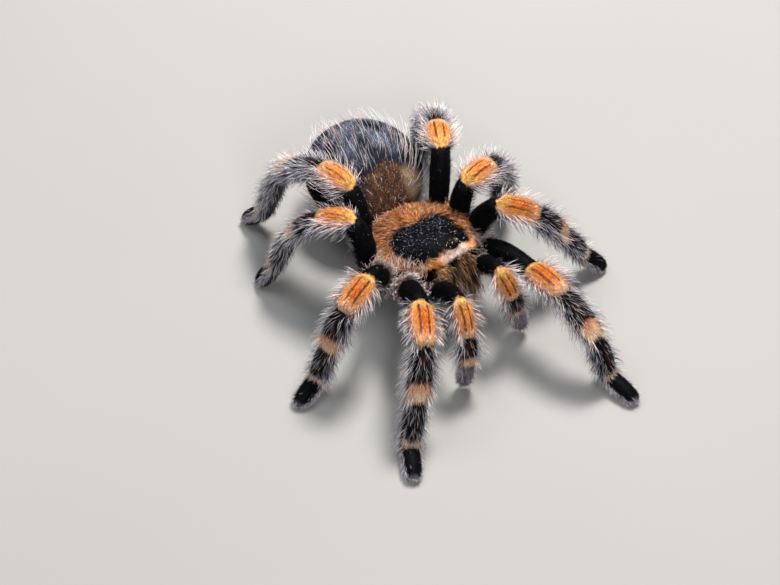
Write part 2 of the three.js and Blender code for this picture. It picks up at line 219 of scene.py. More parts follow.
@dataclass
class Part:
    """One part of the body: a form along its own +Y, with its back towards its own +Z."""

    name: str
    region: Region
    side: int
    placed: Array
    length: float
    rings: Sequence[Ring]
    under: float = 1.0
    girth: float = 1.0
    crown: float = 1.0

    @property
    def origin(self) -> Array:
        """Where the part starts."""
        return self.placed[:3, 3]

    @property
    def axes(self) -> Array:
        """The part's own axes as rows: across, along and up its back."""
        return self.placed[:3, :3].T

    def local(self, points: Array) -> Array:
        """Points in the part's own axes, with the height taken from the rings' centres.

        Args:
            points: The points, one in each row.
        Returns:
            The points, with 0 in the middle of the part's section.
        """
        own = (points - self.origin) @ self.axes.T
        at = [ring.at for ring in self.rings]
        own[:, 2] -= np.interp(own[:, 1], at, [ring.rise for ring in self.rings])
        return own

    def nearness(self, own: Array) -> Array:
        """How far points lie from the part's middle line, as a share of its own girth there.

        Args:
            own: Points in the part's own axes.
        Returns:
            The shares: 1 on its surface.
        """
        at = np.array([ring.at for ring in self.rings])
        wide = np.interp(own[:, 1], at, [max(ring.wide, 0.5) for ring in self.rings])
        high = np.interp(own[:, 1], at, [max(ring.high, 0.5) for ring in self.rings])
        high = np.where(own[:, 2] < 0, high * self.under, high)
        past = np.maximum(0, np.maximum(at[0] - own[:, 1], own[:, 1] - at[-1]))
        return np.hypot(own[:, 0] / wide, own[:, 2] / high) + 3 * past


def ramp(value: Array | float, low: float, high: float) -> Array:
    """A smooth rise from 0 at low to 1 at high."""
    t = np.clip((np.asarray(value, float) - low) / (high - low), 0, 1)
    return t * t * (3 - 2 * t)


def turned(x: float = 0.0, y: float = 0.0, z: float = 0.0) -> Array:
    """A 4 by 4 turn about X, then Y, then Z, in degrees."""
    turns = [Matrix.Rotation(math.radians(angle), 4, axis) for angle, axis in ((z, "Z"), (y, "Y"), (x, "X"))]
    return np.array(turns[0] @ turns[1] @ turns[2])


def moved(x: float, y: float, z: float) -> Array:
    """A 4 by 4 move."""
    return np.array(Matrix.Translation((x, y, z)))


def basis(across: Array, along: Array, up: Array, origin: Array) -> Array:
    """A 4 by 4 placement from three directions and a place."""
    return np.vstack([np.stack([across, along, up, origin], 1), [0, 0, 0, 1]])


def pointed(along: Array, origin: Array) -> Array:
    """A 4 by 4 placement that points one way, with its back up.

    Args:
        along: The way, one long.
        origin: Its place.
    Returns:
        The placement.
    """
    across = np.cross(along, [0, 0, 1.0])
    across /= np.linalg.norm(across)
    return basis(across, along, np.cross(across, along), origin)


@dataclass
class BodyPlan:
    """Every part of the spider in its place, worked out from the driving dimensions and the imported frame."""

    sizes: BodySizes = field(default_factory=BodySizes)
    parts: list[Part] = field(default_factory=list)

    def __post_init__(self) -> None:
        """Places the body, then the limbs on it."""
        low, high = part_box("carapace")
        middle = (np.array(low) + np.array(high)) / 2 / MM
        self.shift = moved(middle[0] - CARAPACE_BOX[0], middle[1] - CARAPACE_BOX[1], 0)
        size = self.sizes
        self.prosoma = self.shift @ moved(0, 0, size.height) @ turned(x=size.pitch)
        self.shield = self.shift @ CARAPACE_SEAT.placed
        self.rear = self.shift @ ABDOMEN_SEAT.placed
        self.add_carapace()
        self.add_jaws()
        self.add_breast()
        self.add_abdomen()
        for kind in HIPS:
            for side, word in SIDES:
                self.add_limb(kind, side, word)

    def of(self, places: "Places", name: str) -> Array:
        """A field of the part that each spot lies on."""
        return np.array([getattr(part, name) for part in self.parts])[places.part]

    def carapace_half_width(self, forward: Array | float) -> Array:
        """The carapace's half width from its rear edge, at -1, to its front edge, at 1.

        Args:
            forward: Where along it.
        Returns:
            The half widths.
        """
        forward = np.asarray(forward, float)
        head = ramp(forward, 0.1, 0.95)
        full = np.sqrt(np.maximum(0, 1 - np.abs(forward) ** 2.4))
        blunt = np.sqrt(np.maximum(0, 1 - np.abs(forward) ** 6)) ** 0.4
        return self.sizes.carapace_width / 2 * (full * (1 - head) + 0.67 * blunt * head)

    def add_carapace(self) -> None:
        """The carapace, higher over the head and blunt at the brow, and the eye mound on it."""
        size = self.sizes
        coat = 0.5
        rings = []
        half = size.carapace_length / 2 - coat
        for place in np.linspace(-1, 1, 23)[2:]:
            along = math.sin(place * math.pi / 2)
            rim = math.sqrt(max(0.0, 1 - along * along))
            rise = 0.86 + 0.36 * float(ramp(-along, -0.6, 0.7))
            wide = max(0.35, float(self.carapace_half_width(-along)) - coat)
            high = size.carapace_rim + rim**0.85 * size.carapace_height * rise - coat
            rings.append(Ring(along * half, wide, max(high, 0.25)))
        shell = Part("carapace", Region.CARAPACE, 0, self.shield, size.carapace_length, rings, under=0.06)
        shell.crown = 1.24
        self.parts.append(shell)
        mound = self.shield @ moved(0, -size.carapace_length / 2 * 0.8, size.carapace_height * 0.87 - 0.1)
        self.parts.append(Part("mound", Region.MOUND, 0, mound, 2.3, self.egg(2.0, 3.2, 1.9)))

    @staticmethod
    def egg(length: float, width: float, height: float, blunt: float = 0.5) -> list[Ring]:
        """Rings of an ellipsoid about its middle, blunter ended where blunt is under a half.

        Args:
            length: Its length.
            width: Its width.
            height: Its height.
            blunt: The power that shapes its ends.
        Returns:
            The rings, from its rear end.
        """
        rings = []
        for place in np.linspace(-1, 1, 11):
            along = math.sin(place * math.pi / 2)
            share = max(0.06, 1 - along * along) ** blunt
            rings.append(Ring(along * length / 2, width / 2 * share, height / 2 * share))
        return rings

    def add_jaws(self) -> None:
        """The two chelicerae, tucked under the carapace's front edge."""
        size = self.sizes
        coat = 0.4
        half = size.jaw_length / 2
        for side, word in SIDES:
            across = side * (size.jaw_width + size.gap) / 2 + size.jaw_aside
            place = moved(across, size.jaw_tucked - size.carapace_length / 2, size.jaw_raised)
            placed = self.shield @ place @ turned(z=180) @ turned(x=size.jaw_pitch)
            rings = []
            for step in np.linspace(-1, 1, 15):
                along = math.sin(step * math.pi / 2)
                swell = max(0.012, 1 - along * along) ** 0.325
                at = half + (half - coat) * math.copysign(abs(along) ** 0.8, along)
                wide = (size.jaw_width / 2) * swell - coat
                high = size.jaw_height / 2 * (1 - 0.22 * along) * swell - coat
                rings.append(Ring(at, max(wide, 0.3), max(high, 0.3), -0.5 * along))
            self.parts.append(Part(f"jaw_{word}", Region.JAW, side, placed, size.jaw_length, rings))

    def add_breast(self) -> None:
        """The breastplate, the body over the coxae, the lower lip and the waist."""
        core = self.prosoma @ moved(0, 0.5, -2.2)
        self.parts.append(Part("core", Region.BREAST, 0, core, 20.0, self.egg(21.0, 15.5, 6.0, blunt=0.4)))
        boss = self.prosoma @ moved(0, 0, -3.4)
        plate = self.egg(11.4, 7.6, 5.6, blunt=0.4)
        self.parts.append(Part("breastplate", Region.BREAST, 0, boss, 12.0, plate))
        lip = self.prosoma @ moved(0, -6.2, -4.6)
        self.parts.append(Part("lip", Region.BREAST, 0, lip, 3.2, self.egg(2.8, 2.1, 2.2)))
        waist = self.prosoma @ moved(0, 4.5, -2.2) @ turned(x=12)
        rings = [Ring(0, 1.3, 1.2), Ring(3, 1.2, 1.1), Ring(7, 1.5, 1.4)]
        self.parts.append(Part("waist", Region.BREAST, 0, waist, 6.0, rings))

    def add_abdomen(self) -> None:
        """The abdomen and its two spinnerets."""
        size = self.sizes
        coat = 0.55
        rings = []
        for step in np.linspace(-1, 1, 23):
            along = math.sin(step * math.pi / 2)
            narrow = 1 - 0.05 * (1 - along) - 0.06 * max(0.0, -along) ** 2
            rim = math.sqrt(max(0.0, 1 - along * along)) * narrow
            wide = max(0.5, size.abdomen_width / 2 * rim - coat)
            high = max(0.4, size.abdomen_height / 2 * rim - coat)
            rings.append(Ring(along * (size.abdomen_length / 2 - coat), wide, high))
        abdomen = Part("abdomen", Region.ABDOMEN, 0, self.rear, size.abdomen_length, rings, under=0.92)
        self.parts.append(abdomen)
        for side, word in SIDES:
            place = moved(side * 1.6, size.abdomen_length / 2 * 0.86, -size.abdomen_height / 2 * 0.42)
            placed = self.rear @ place @ turned(z=-16 * side) @ turned(x=-14)
            rings = [Ring(-0.8, 0.7, 0.7), Ring(1.6, 0.78, 0.78), Ring(1.9, 0.66, 0.66), Ring(3.4, 0.6, 0.6)]
            rings += [Ring(3.6, 0.5, 0.5), Ring(4.8, 0.4, 0.4), Ring(5.2, 0.2, 0.2)]
            self.parts.append(Part(f"spinneret_{word}", Region.SPINNERET, side, placed, 5.0, rings))

    @staticmethod
    def limb_rings(
        length: float, start: float, fullest: float, end: float, wide: float, arch: float
    ) -> list[Ring]:
        """Rings of a limb segment, narrow at its joints, with a low collar where it ends.

        Args:
            length: The segment's length.
            start: Its half depth where it starts.
            fullest: Its half depth at its fullest.
            end: Its half depth where it ends.
            wide: Its width for its depth.
            arch: How high it arches, for its length.
        Returns:
            The rings.
        """
        rings = []
        for t in (-0.07, -0.02, 0.05, 0.13, 0.25, 0.38, 0.5, 0.62, 0.75, 0.86, 0.94, 0.99, 1.03):
            girth = start + (end - start) * t
            girth += (fullest - (start + end) / 2) * math.sin(math.pi * min(1, max(0, t))) ** 0.7
            if t < 0:
                girth *= 0.72 + 3 * t
            elif t < 0.1:
                girth *= 0.93
            elif t > 1:
                girth *= 0.7
            rise = arch * length * math.sin(math.pi * min(1, max(0, t)))
            rings.append(Ring(t * length, girth * wide, girth, rise))
        return rings

    @staticmethod
    def foot_rings(length: float, start: float, fullest: float, tip: float, wide: float) -> list[Ring]:
        """Rings of a foot, which ends in a blunt round tip.

        Args:
            length: The foot's length.
            start: Its half depth where it starts.
            fullest: Its half depth at its fullest.
            tip: Its half depth near its tip.
            wide: Its width for its depth.
        Returns:
            The rings.
        """
        rings = [Ring(-0.05 * length, start * wide * 0.6, start * 0.6)]
        for t in (0.02, 0.1, 0.25, 0.4, 0.55, 0.7, 0.8):
            girth = start + (tip - start) * t + (fullest - (start + tip) / 2) * math.sin(math.pi * t) ** 0.7
            rings.append(Ring(t * length, girth * wide, girth))
        last = rings[-1]
        reach = length - last.at
        for turn in (25, 50, 70, 86):
            angle = math.radians(turn)
            shrink = math.cos(angle) ** 0.8
            rings.append(Ring(last.at + reach * math.sin(angle), last.wide * shrink, last.high * shrink))
        return rings

    def add_limb(self, kind: str, side: int, word: str) -> None:
        """One leg or feeler, from its coxa out to its foot.

        Args:
            kind: The limb, without its side.
            side: 1 on the spider's left and -1 on its right.
            word: The side's name.
        """
        hip = HIPS[kind]
        stance = STANCES[kind, side]
        girth = PALP_GIRTH if kind == "palp" else 1.0
        place = self.prosoma @ np.array([side * hip.side + hip.aside, -hip.forward, -COXA_DROP, 1])
        inner = side * hip.socket_side + hip.aside
        socket = self.prosoma @ np.array([inner, -hip.socket_forward, -SOCKET_DROP, 1])
        self.add_coxa(f"{kind}_{word}", side, socket[:3], place[:3], math.sqrt(girth))
        yaw, lean = math.radians(stance.yaw), math.radians(stance.lean)
        out = np.array([side * math.sin(yaw), -math.cos(yaw), 0.0])
        back = np.array([side * math.cos(yaw), math.sin(yaw), 0.0])
        up = np.array([0, 0, math.cos(lean)]) + back * math.sin(lean)
        regions = LEG_REGIONS if len(LENGTHS[kind]) == len(LEG_REGIONS) else PALP_REGIONS
        slopes = self.slopes(stance, LENGTHS[kind], place[2], TIP_RADIUS * math.sqrt(girth))
        joint = place[:3].copy()
        for i, (region, length, slope) in enumerate(zip(regions, LENGTHS[kind], slopes)):
            along = out * math.cos(slope) + up * math.sin(slope)
            raised = up * math.cos(slope) - out * math.sin(slope)
            shape = SHAPES[region]
            start = (shape.joint * girth - shape.coat * 0.8) * 0.97
            full = shape.fullest * girth - shape.coat * girth
            placed = basis(np.cross(along, raised), along, raised, joint)
            if i + 1 < len(regions):
                after = SHAPES[regions[i + 1]]
                end = after.joint * girth - (shape.coat + after.coat) * 0.4
                rings = self.limb_rings(length, start, full, end, shape.wide, shape.arch)
            else:
                tip = (TIP_RADIUS - 0.3) * math.sqrt(girth)
                rings = self.foot_rings(length - 0.35, start, full, tip, shape.wide)
            name = f"{kind}_{word}_{region.name.lower()}"
            self.parts.append(Part(name, region, side, placed, length, rings, girth=girth))
            joint = joint + along * length

    @staticmethod
    def slopes(stance: Stance, lengths: Sequence[float], hip_height: float, tip: float) -> list[float]:
        """Each segment's slope in radians. A foot with none of its own goes down to the floor.

        Args:
            stance: The limb's pose.
            lengths: Its segments' lengths.
            hip_height: How high its hip lies.
            tip: Its foot's radius at the tip.
        Returns:
            The slopes, from the hip outwards.
        """
        slopes = [math.radians(rise) for rise in stance.rise]
        if len(slopes) == len(lengths):
            return slopes
        upright = math.cos(math.radians(stance.lean))
        ankle = hip_height + sum(n * math.sin(a) * upright for n, a in zip(lengths, slopes))
        drop = (ankle + PRESS - tip) / ((lengths[-1] - tip) * upright)
        return slopes + [-math.asin(max(-1.0, min(1.0, drop)))]

    def add_coxa(self, limb: str, side: int, socket: Array, hip: Array, fat: float) -> None:
        """The coxa and trochanter, from the breastplate's edge out to the hip.

        Args:
            limb: The limb's name.
            side: 1 on the spider's left and -1 on its right.
            socket: The coxa's inner end.
            hip: Its outer end.
            fat: Its girth, for a leg's.
        """
        along = hip - socket
        length = float(np.linalg.norm(along))
        along /= length
        placed = pointed(along, socket)
        full = 1.85 * fat
        rings = [Ring(-0.6, 0.9, 0.9), Ring(0, 1.2 * fat, 1.2 * fat)]
        for share, wide, high in COXA_RINGS:
            rings.append(Ring(length * share, full * wide, full * high))
        rings += [Ring(length + 0.9, full * 0.85, full * 0.9), Ring(length + 1.7, full * 0.45, full * 0.45)]
        self.parts.append(Part(f"{limb}_coxa", Region.COXA, side, placed, length, rings, girth=fat))


# ---- Modelling by hand ----
class Bench:
    """Short cuts for the modelling operators."""

    @staticmethod
    def clear() -> None:
        """Nothing is selected and nothing is being edited."""
        if bpy.context.object and bpy.context.object.mode != "OBJECT":
            bpy.ops.object.mode_set(mode="OBJECT")
        bpy.ops.object.select_all(action="DESELECT")

    @staticmethod
    def take(*pieces: Piece) -> None:
        """Selects these pieces alone and works on the first.

        Args:
            pieces: The pieces.
        """
        Bench.clear()
        for piece in pieces:
            piece.select_set(True)
        bpy.context.view_layer.objects.active = pieces[0]

    @staticmethod
    def loft(
        name: str, rings: Sequence[Ring], sides: int, under: float = 1.0, crown: float = 1.0
    ) -> Piece:
        """A closed form drawn out ring by ring along +Y.

        Args:
            name: The object's name.
            rings: The form's rings, in order along it.
            sides: How many corners a ring has.
            under: How deep the lower half is, for the upper half.
            crown: The power that a corner's height on a ring is raised to, over 1 for straighter sides.
        Returns:
            The object, in metres.
        """
        Bench.clear()
        first = rings[0]
        bpy.ops.mesh.primitive_circle_add(
            vertices=sides, radius=MM, fill_type="NGON", location=(0, first.at * MM, first.rise * MM),
            rotation=(math.pi / 2, 0, 0),
        )
        made = bpy.context.object
        made.name = name
        bpy.ops.object.transform_apply()
        centre = (0, first.at * MM, first.rise * MM)
        for step in range(1, sides // 4) if crown != 1 else ():
            height = math.sin(2 * math.pi * step / sides)
            Bench.squeeze(
                made, lambda co, h=height: np.abs(np.abs(co[:, 2] / MM - first.rise) - h) < 1e-3,
                height ** (crown - 1), centre,
            )
        bpy.ops.object.mode_set(mode="EDIT")
        bpy.ops.mesh.select_all(action="SELECT")
        bpy.ops.transform.resize(value=(first.wide, 1, first.high), center_override=centre)
        for before, ring in zip(rings, rings[1:]):
            step = (0, (ring.at - before.at) * MM, (ring.rise - before.rise) * MM)
            bpy.ops.mesh.extrude_region_move(TRANSFORM_OT_translate={"value": step})
            centre = (0, ring.at * MM, ring.rise * MM)
            grow = (ring.wide / before.wide, 1, ring.high / before.high)
            bpy.ops.transform.resize(value=grow, center_override=centre)
        bpy.ops.mesh.select_all(action="SELECT")
        bpy.ops.mesh.normals_make_consistent(inside=False)
        bpy.ops.object.mode_set(mode="OBJECT")
        if under != 1:
            Bench.squeeze(made, lambda co: co[:, 2] < -1e-7, under, (0, 0, 0))
        return made

    @staticmethod
    def select(piece: Piece, where: Callable[[Array], Array]) -> None:
        """Selects a mesh's corners by a test of their places, in metres.

        Args:
            piece: The piece.
            where: The test.
        """
        mesh = piece.data
        chosen = where(Bench.corners(mesh))
        mesh.edges.foreach_set("select", np.zeros(len(mesh.edges), bool))
        mesh.polygons.foreach_set("select", np.zeros(len(mesh.polygons), bool))
        mesh.vertices.foreach_set("select", chosen)

    @staticmethod
    def corners(mesh: bpy.types.Mesh) -> Array:
        """A mesh's corners, one in each row.

        Args:
            mesh: The mesh.
        Returns:
            Their places, in metres.
        """
        co = np.empty(len(mesh.vertices) * 3, np.float32)
        mesh.vertices.foreach_get("co", co)
        return co.reshape(-1, 3)

    @staticmethod
    def squeeze(
        piece: Piece, where: Callable[[Array], Array], share: float, centre: tuple[float, ...]
    ) -> None:
        """Scales the chosen corners' heights.

        Args:
            piece: The piece.
            where: The test that chooses the corners.
            share: What their heights are scaled by.
            centre: The point whose height stays.
        """
        Bench.select(piece, where)
        bpy.ops.object.mode_set(mode="EDIT")
        bpy.ops.transform.resize(value=(1, 1, share), center_override=centre)
        bpy.ops.object.mode_set(mode="OBJECT")

    @staticmethod
    def place(piece: Piece, placed: Array) -> None:
        """Puts a piece in its place, with that place in its mesh.

        Args:
            piece: The piece.
            placed: Its place and turn, in millimetres.
        """
        made = Matrix(placed.tolist())
        made.translation *= MM
        piece.matrix_world = made
        Bench.take(piece)
        bpy.ops.object.transform_apply(location=True, rotation=True, scale=True)

    @staticmethod
    def join(pieces: Sequence[Piece], name: str) -> Piece:
        """Joins pieces into one object.

        Args:
            pieces: The pieces.
            name: The whole's name.
        Returns:
            The whole.
        """
        Bench.take(*pieces)
        bpy.ops.object.join()
        pieces[0].name = name
        pieces[0].data.name = name
        return pieces[0]

    @staticmethod
    def modify(piece: Piece, kind: str, **settings: object) -> None:
        """Adds a modifier with its settings and applies it.

        Args:
            piece: The piece.
            kind: The modifier's kind.
            settings: Its settings.
        """
        Bench.take(piece)
        modifier = piece.modifiers.new(kind.lower(), kind)
        for key, value in settings.items():
            setattr(modifier, key, value)
        bpy.ops.object.modifier_apply(modifier=modifier.name)


# ---- Where things lie on the skin ----
@dataclass
class Places:
    """Spots on the skin: where they are, how they face, and where on which part of the body they lie."""

    point: Array
    normal: Array
    part: Array
    local: Array
    along: Array
    turn: Array

    def pick(self, chosen: Array) -> "Places":
        """The chosen spots."""
        return Places(*(getattr(self, name)[chosen] for name in self.__dataclass_fields__))

    @property
    def x(self) -> Array:
        """How far each spot lies to the left in its part's own axes."""
        return self.local[:, 0]

    @property
    def y(self) -> Array:
        """How far each spot lies along its part's own axes."""
        return self.local[:, 1]

    @property
    def off(self) -> Array:
        """How far each spot is turned from the part's back, in degrees."""
        return np.degrees(np.abs(self.turn))


WAVES = 5  # how many waves add up to an uneven pattern


def wander(points: Array, size: float, seed: int) -> Array:
    """A smooth pseudo-random value from about -1 to 1 at each point, with features of the given size.

    Args:
        points: The points.
        size: The features' size.
        seed: Which of the patterns.
    Returns:
        The values.
    """
    rng = np.random.default_rng(seed)
    total = np.zeros(len(points))
    for _ in range(WAVES):
        way = rng.normal(size=3)
        way *= 2 * math.pi / (size * rng.uniform(0.7, 1.6) * 2 * np.linalg.norm(way))
        total += np.sin(points @ way + rng.uniform(0, 2 * math.pi))
    return total / math.sqrt(WAVES)


def linear(code: str) -> Array:
    """A colour from its six hexadecimal digits, as linear light."""
    values = np.array([int(code[i : i + 2], 16) for i in (0, 2, 4)]) / 255
    return np.where(values <= 0.04045, values / 12.92, ((values + 0.055) / 1.055) ** 2.4)


class Tint(Enum):
    """The spider's colours."""

    JET = "020409"
    VELVET = "06070b"
    SOOT = "0f1016"
    SLATE = "1d2230"
    STEEL = "6f778d"
    MOUSE = "66616a"
    ASH = "aba7b0"
    LILAC = "cfcbdc"
    FROST = "f6f2f4"
    ROSE = "e8c2b8"
    BLUSH = "cf9f92"
    ORANGE = "e2780f"
    EMBER = "cc5c10"
    AMBER = "ee9f55"
    SAFFRON = "e6b468"
    CREAM = "fadec0"
    PEACH = "f4b68c"
    GINGER = "c26a3a"
    GOLD = "b07e50"
    UMBER = "34200f"
    RUST = "744628"
    OLIVE = "b0987f"

    @property
    def light(self) -> Array:
        """The colour as linear light."""
        return linear(self.value)


def mixed(under: Array, over: Array, share: Array) -> Array:
    """One set of colours laid over another."""
    return under + (over - under) * np.asarray(share)[..., None]


def layered(base: Array, *coats: tuple[Tint | Array, Array]) -> Array:
    """Colours laid one over another.

    Args:
        base: The colours under them all.
        coats: Each coat's colour and its share at each spot, from the lowest to the highest.
    Returns:
        The colours that show.
    """
    for over, share in coats:
        base = mixed(base, over.light if isinstance(over, Tint) else over, share)
    return base


MASK_OUTLINE = (
    (-8.3, 1.2), (-6.6, 2.4), (-4.8, 2.9), (-3.6, 2.8), (-2.4, 1.6), (-0.9, 1.2), (0.7, 1.5), (2.1, 1.4),
    (3.9, 0.6), (5.4, -0.4), (5.4, -2.0), (4.6, -4.2), (5.0, -5.8), (5.6, -7.2), (5.4, -8.8), (3.6, -9.4),
    (1.4, -9.4), (-0.5, -9.1), (-2.1, -8.9), (-3.5, -8.7), (-5.0, -8.4), (-6.2, -8.0), (-7.1, -7.4),
    (-8.2, -6.2), (-8.9, -5.0), (-9.4, -3.8), (-9.5, -2.3), (-9.1, -0.7),
)  # the black mask's edge on the carapace, seen from above in its own axes


def beyond(outline: Sequence[Pair], x: Array, y: Array) -> Array:
    """How far points lie outside a closed outline: under 0 inside it.

    Args:
        outline: Its corners in order.
        x: The points' places across.
        y: The points' places along.
    Returns:
        The distances.
    """
    corners = np.array(outline)
    away = np.full(len(x), np.inf)
    inside = np.zeros(len(x), bool)
    for start, end in zip(corners, np.roll(corners, -1, axis=0)):
        way = end - start
        t = np.clip(((x - start[0]) * way[0] + (y - start[1]) * way[1]) / (way @ way), 0, 1)
        away = np.minimum(away, np.hypot(x - start[0] - t * way[0], y - start[1] - t * way[1]))
        if way[1]:
            crosses = (start[1] > y) != (end[1] > y)
            inside ^= crosses & (x < start[0] + (y - start[1]) * way[0] / way[1])
    return np.where(inside, -away, away)


class Markings:
    """The pattern that the skin and the coat share."""

    NEAR_HIPS = ("leg1_right", "leg2_right")  # the limbs with the broadest rosy arcs at their roots
    TIBIA_BAND = (0.6, 1.0)  # where along the tibia its band starts and ends
    METATARSUS_BAND = (0.76, 1.04)

    def __init__(self, plan: BodyPlan) -> None:
        """Takes the plan, and for each painted region the method of its name.

        Args:
            plan: The body's plan.
        """
        self.plan = plan
        paints = (
            self.carapace, self.jaw, self.abdomen, self.coxa, self.femur, self.patella, self.tibia,
            self.metatarsus, self.tarsus,
        )
        self.by_region = {Region[paint.__name__.upper()]: paint for paint in paints}

    def tones(self, at: Places) -> Array:
        """The pattern's colour at each spot.

        Args:
            at: The spots.
        Returns:
            Their colours, as linear light.
        """
        tones = np.tile(Tint.SOOT.light, (len(at.point), 1))
        regions = self.plan.of(at, "region")
        for region, paint in self.by_region.items():
            chosen = regions == region
            if chosen.any():
                tones[chosen] = paint(at.pick(chosen))
        return tones

    # -- The carapace --
    def rim(self, at: Places) -> Array:
        """How far in from the carapace's edge a spot lies, in millimetres.

        Args:
            at: The spots.
        Returns:
            The distances.
        """
        half = self.plan.sizes.carapace_length / 2
        forward = np.clip(-at.y / half, -1, 1)
        side = self.plan.carapace_half_width(forward) - np.abs(at.x)
        ends = half * (1 - np.abs(forward))
        return np.minimum(side * 0.85, ends)

    def away(self, at: Places) -> Array:
        """How far a spot lies outside the black mask's ragged edge, in millimetres: under 0 inside it."""
        uneven = 0.3 * wander(at.point, 1.5, 11) + 0.25 * wander(at.point, 0.5, 10)
        return beyond(MASK_OUTLINE, at.x, at.y) + uneven

    def mask(self, at: Places) -> Array:
        """The black mask on top of the carapace: 1 inside it and 0 outside."""
        return ramp(self.away(at), 0.35, -0.45)

    def brow(self, at: Places) -> Array:
        """The pale band along the carapace's front edge, broader on the head's right.

        Args:
            at: The spots.
        Returns:
            1 in the band and 0 outside.
        """
        edge = self.rim(at) + 0.1 * wander(at.point, 1.2, 12)
        broad = 2.1 + 0.2 * ramp(at.x, -2.0, -6.5) + 0.4 * ramp(at.x, 3.0, 6.5)
        return ramp(edge, broad + 0.2, broad - 0.15) * ramp(-at.y, 7.2, 8.6)

    def carapace(self, at: Places) -> Array:
        """Black in the middle, ginger all round, rosy at the edge, and pale along the brow.

        Args:
            at: The spots.
        Returns:
            Their colours.
        """
        edge, x = self.rim(at), at.x
        glow = np.clip(0.4 + 0.45 * wander(at.point, 0.9, 13), 0, 1)
        pale = layered(
            Tint.PEACH.light,
            (Tint.FROST, ramp(x, -4.2, -2.2) * 0.6),
            (Tint.AMBER, ramp(x, 1.8, 4.4) * 0.9),
            (Tint.AMBER.light * 0.5, ramp(x, -3.0, -5.4) * 0.95),
        )
        return layered(
            Tint.GINGER.light * 0.8,
            (Tint.AMBER, glow),
            (Tint.UMBER, ramp(self.away(at), 1.8, 0.3) * 0.9),
            (Tint.RUST, ramp(x, 6.5, 9.0) * ramp(edge, 1.0, 2.0) * 0.8),
            (Tint.PEACH, ramp(edge, 3.2, 0.6) * 0.85),
            (Tint.ROSE, ramp(edge, 1.4, 0.1) * 0.7),
            (Tint.JET, self.mask(at)),
            (pale, self.brow(at)),
            (Tint.SOOT, at.off > 100),
        )

    # -- The jaws --
    def streak(self, at: Places) -> Array:
        """Lengthwise streaks on a jaw: 1 on a golden one and 0 on a dark one.

        Args:
            at: The spots.
        Returns:
            The shares of gold.
        """
        side = at.turn * 3.2 + 0.3 * wander(at.point, 2.4, 15)
        lines = np.sin(side * 5.1) * 0.4 + np.sin(side * 11.7 + 1.3) * 0.6 + 0.4 * wander(at.point, 1.5, 14)
        return ramp(lines, -0.15, 0.55) * ramp(at.off, 130, 80)

    def jaw(self, at: Places) -> Array:
        """Brown-black, streaked with gold, with painted shade between the jaws and on each jaw's side towards
        the spider's right, and darker towards the fang.

        Args:
            at: The spots.
        Returns:
            Their colours.
        """
        return layered(
            Tint.UMBER.light * 0.6,
            (Tint.GOLD, self.streak(at)),
            # Painted shade between the two jaws, where shade falls.
            (Tint.SOOT, ramp(at.x * self.plan.of(at, "side"), 0.2, 1.6) * 0.35),
            # Painted shade on each jaw's side towards the spider's right, away from the key light.
            (Tint.SOOT, ramp(at.x, 0.8, 2.4) * 0.5),
            (Tint.SOOT, ramp(at.along, 0.75, 1.0) * 0.7),
            (Tint.EMBER, ramp(at.off, 140, 165) * 0.6),
        )

    # -- The abdomen --
    def patch(self, at: Places) -> Array:
        """The brown patch on the abdomen's front."""
        away = np.hypot((at.x - 0.8) / 8.6, (at.y + 12.6) / 8.2) + 0.08 * wander(at.point, 2.6, 16)
        return (1 - ramp(away, 0.72, 1.12)) * ramp(at.off, 120, 85)

    def bloom(self, at: Places) -> Array:
        """The painted frosty highlight on the abdomen's top, where pale-tipped hairs also grow: 1 where it is
        palest.
        """
        uneven = 0.45 + 0.4 * wander(at.point, 2.8, 17) + 0.25 * wander(at.point, 0.8, 9)
        return np.clip(ramp(at.off, 85, 25) * ramp(at.y, -5.0, 2.0) * uneven, 0, 1)

    def abdomen(self, at: Places) -> Array:
        """Blue-black with a painted bluish sheen and frosty highlight on top, the brown patch in front, and
        painted light as an olive flank beside it.

        Args:
            at: The spots.
        Returns:
            Their colours.
        """
        earthy = np.clip(0.1 + 0.3 * wander(at.point, 0.8, 18), 0, 1)
        # Painted light: the flank on the spider's left beside the patch, where the key light falls, made a
        # paler olive.
        flank = ramp(at.x, 4.0, 7.0) * ramp(at.y, -4.5, -8.5)
        return layered(
            Tint.SOOT.light,
            # Painted sheen: bluish slate where the top faces up, with a paler steel highlight over it.
            (Tint.SLATE, ramp(at.off, 90, 30) * 0.5),
            (Tint.STEEL, self.bloom(at) * 0.6),
            (layered(Tint.UMBER.light, (Tint.RUST, earthy), (Tint.MOUSE, 0.08)), self.patch(at)),
            (Tint.OLIVE, flank * ramp(at.off, 105, 85) * 0.85),
        )

    # -- The limbs --
    def coxa(self, at: Places) -> Array:
        """Soot, with a rosy collar at each joint."""
        collar = np.exp(-(((at.along - 0.7) / 0.07) ** 2)) + np.exp(-(((at.along - 1.05) / 0.1) ** 2))
        return mixed(Tint.SOOT.light, Tint.BLUSH.light, np.clip(collar, 0, 1) * 0.6 * ramp(at.off, 130, 90))

    def femur(self, at: Places) -> Array:
        """Jet black, with a trace of rose underneath at its root.

        Args:
            at: The spots.
        Returns:
            Their colours.
        """
        near = self.stem(at, self.NEAR_HIPS)
        root = ramp(at.along, 0.14 + 0.24 * near, 0.02 + 0.24 * near) * (0.35 + 0.25 * near)
        return mixed(Tint.VELVET.light, Tint.BLUSH.light, root)

    def stem(self, at: Places, limbs: tuple[str, ...]) -> Array:
        """1 at the spots on these limbs and 0 elsewhere."""
        return np.array([part.name.startswith(limbs) for part in self.plan.parts], float)[at.part]

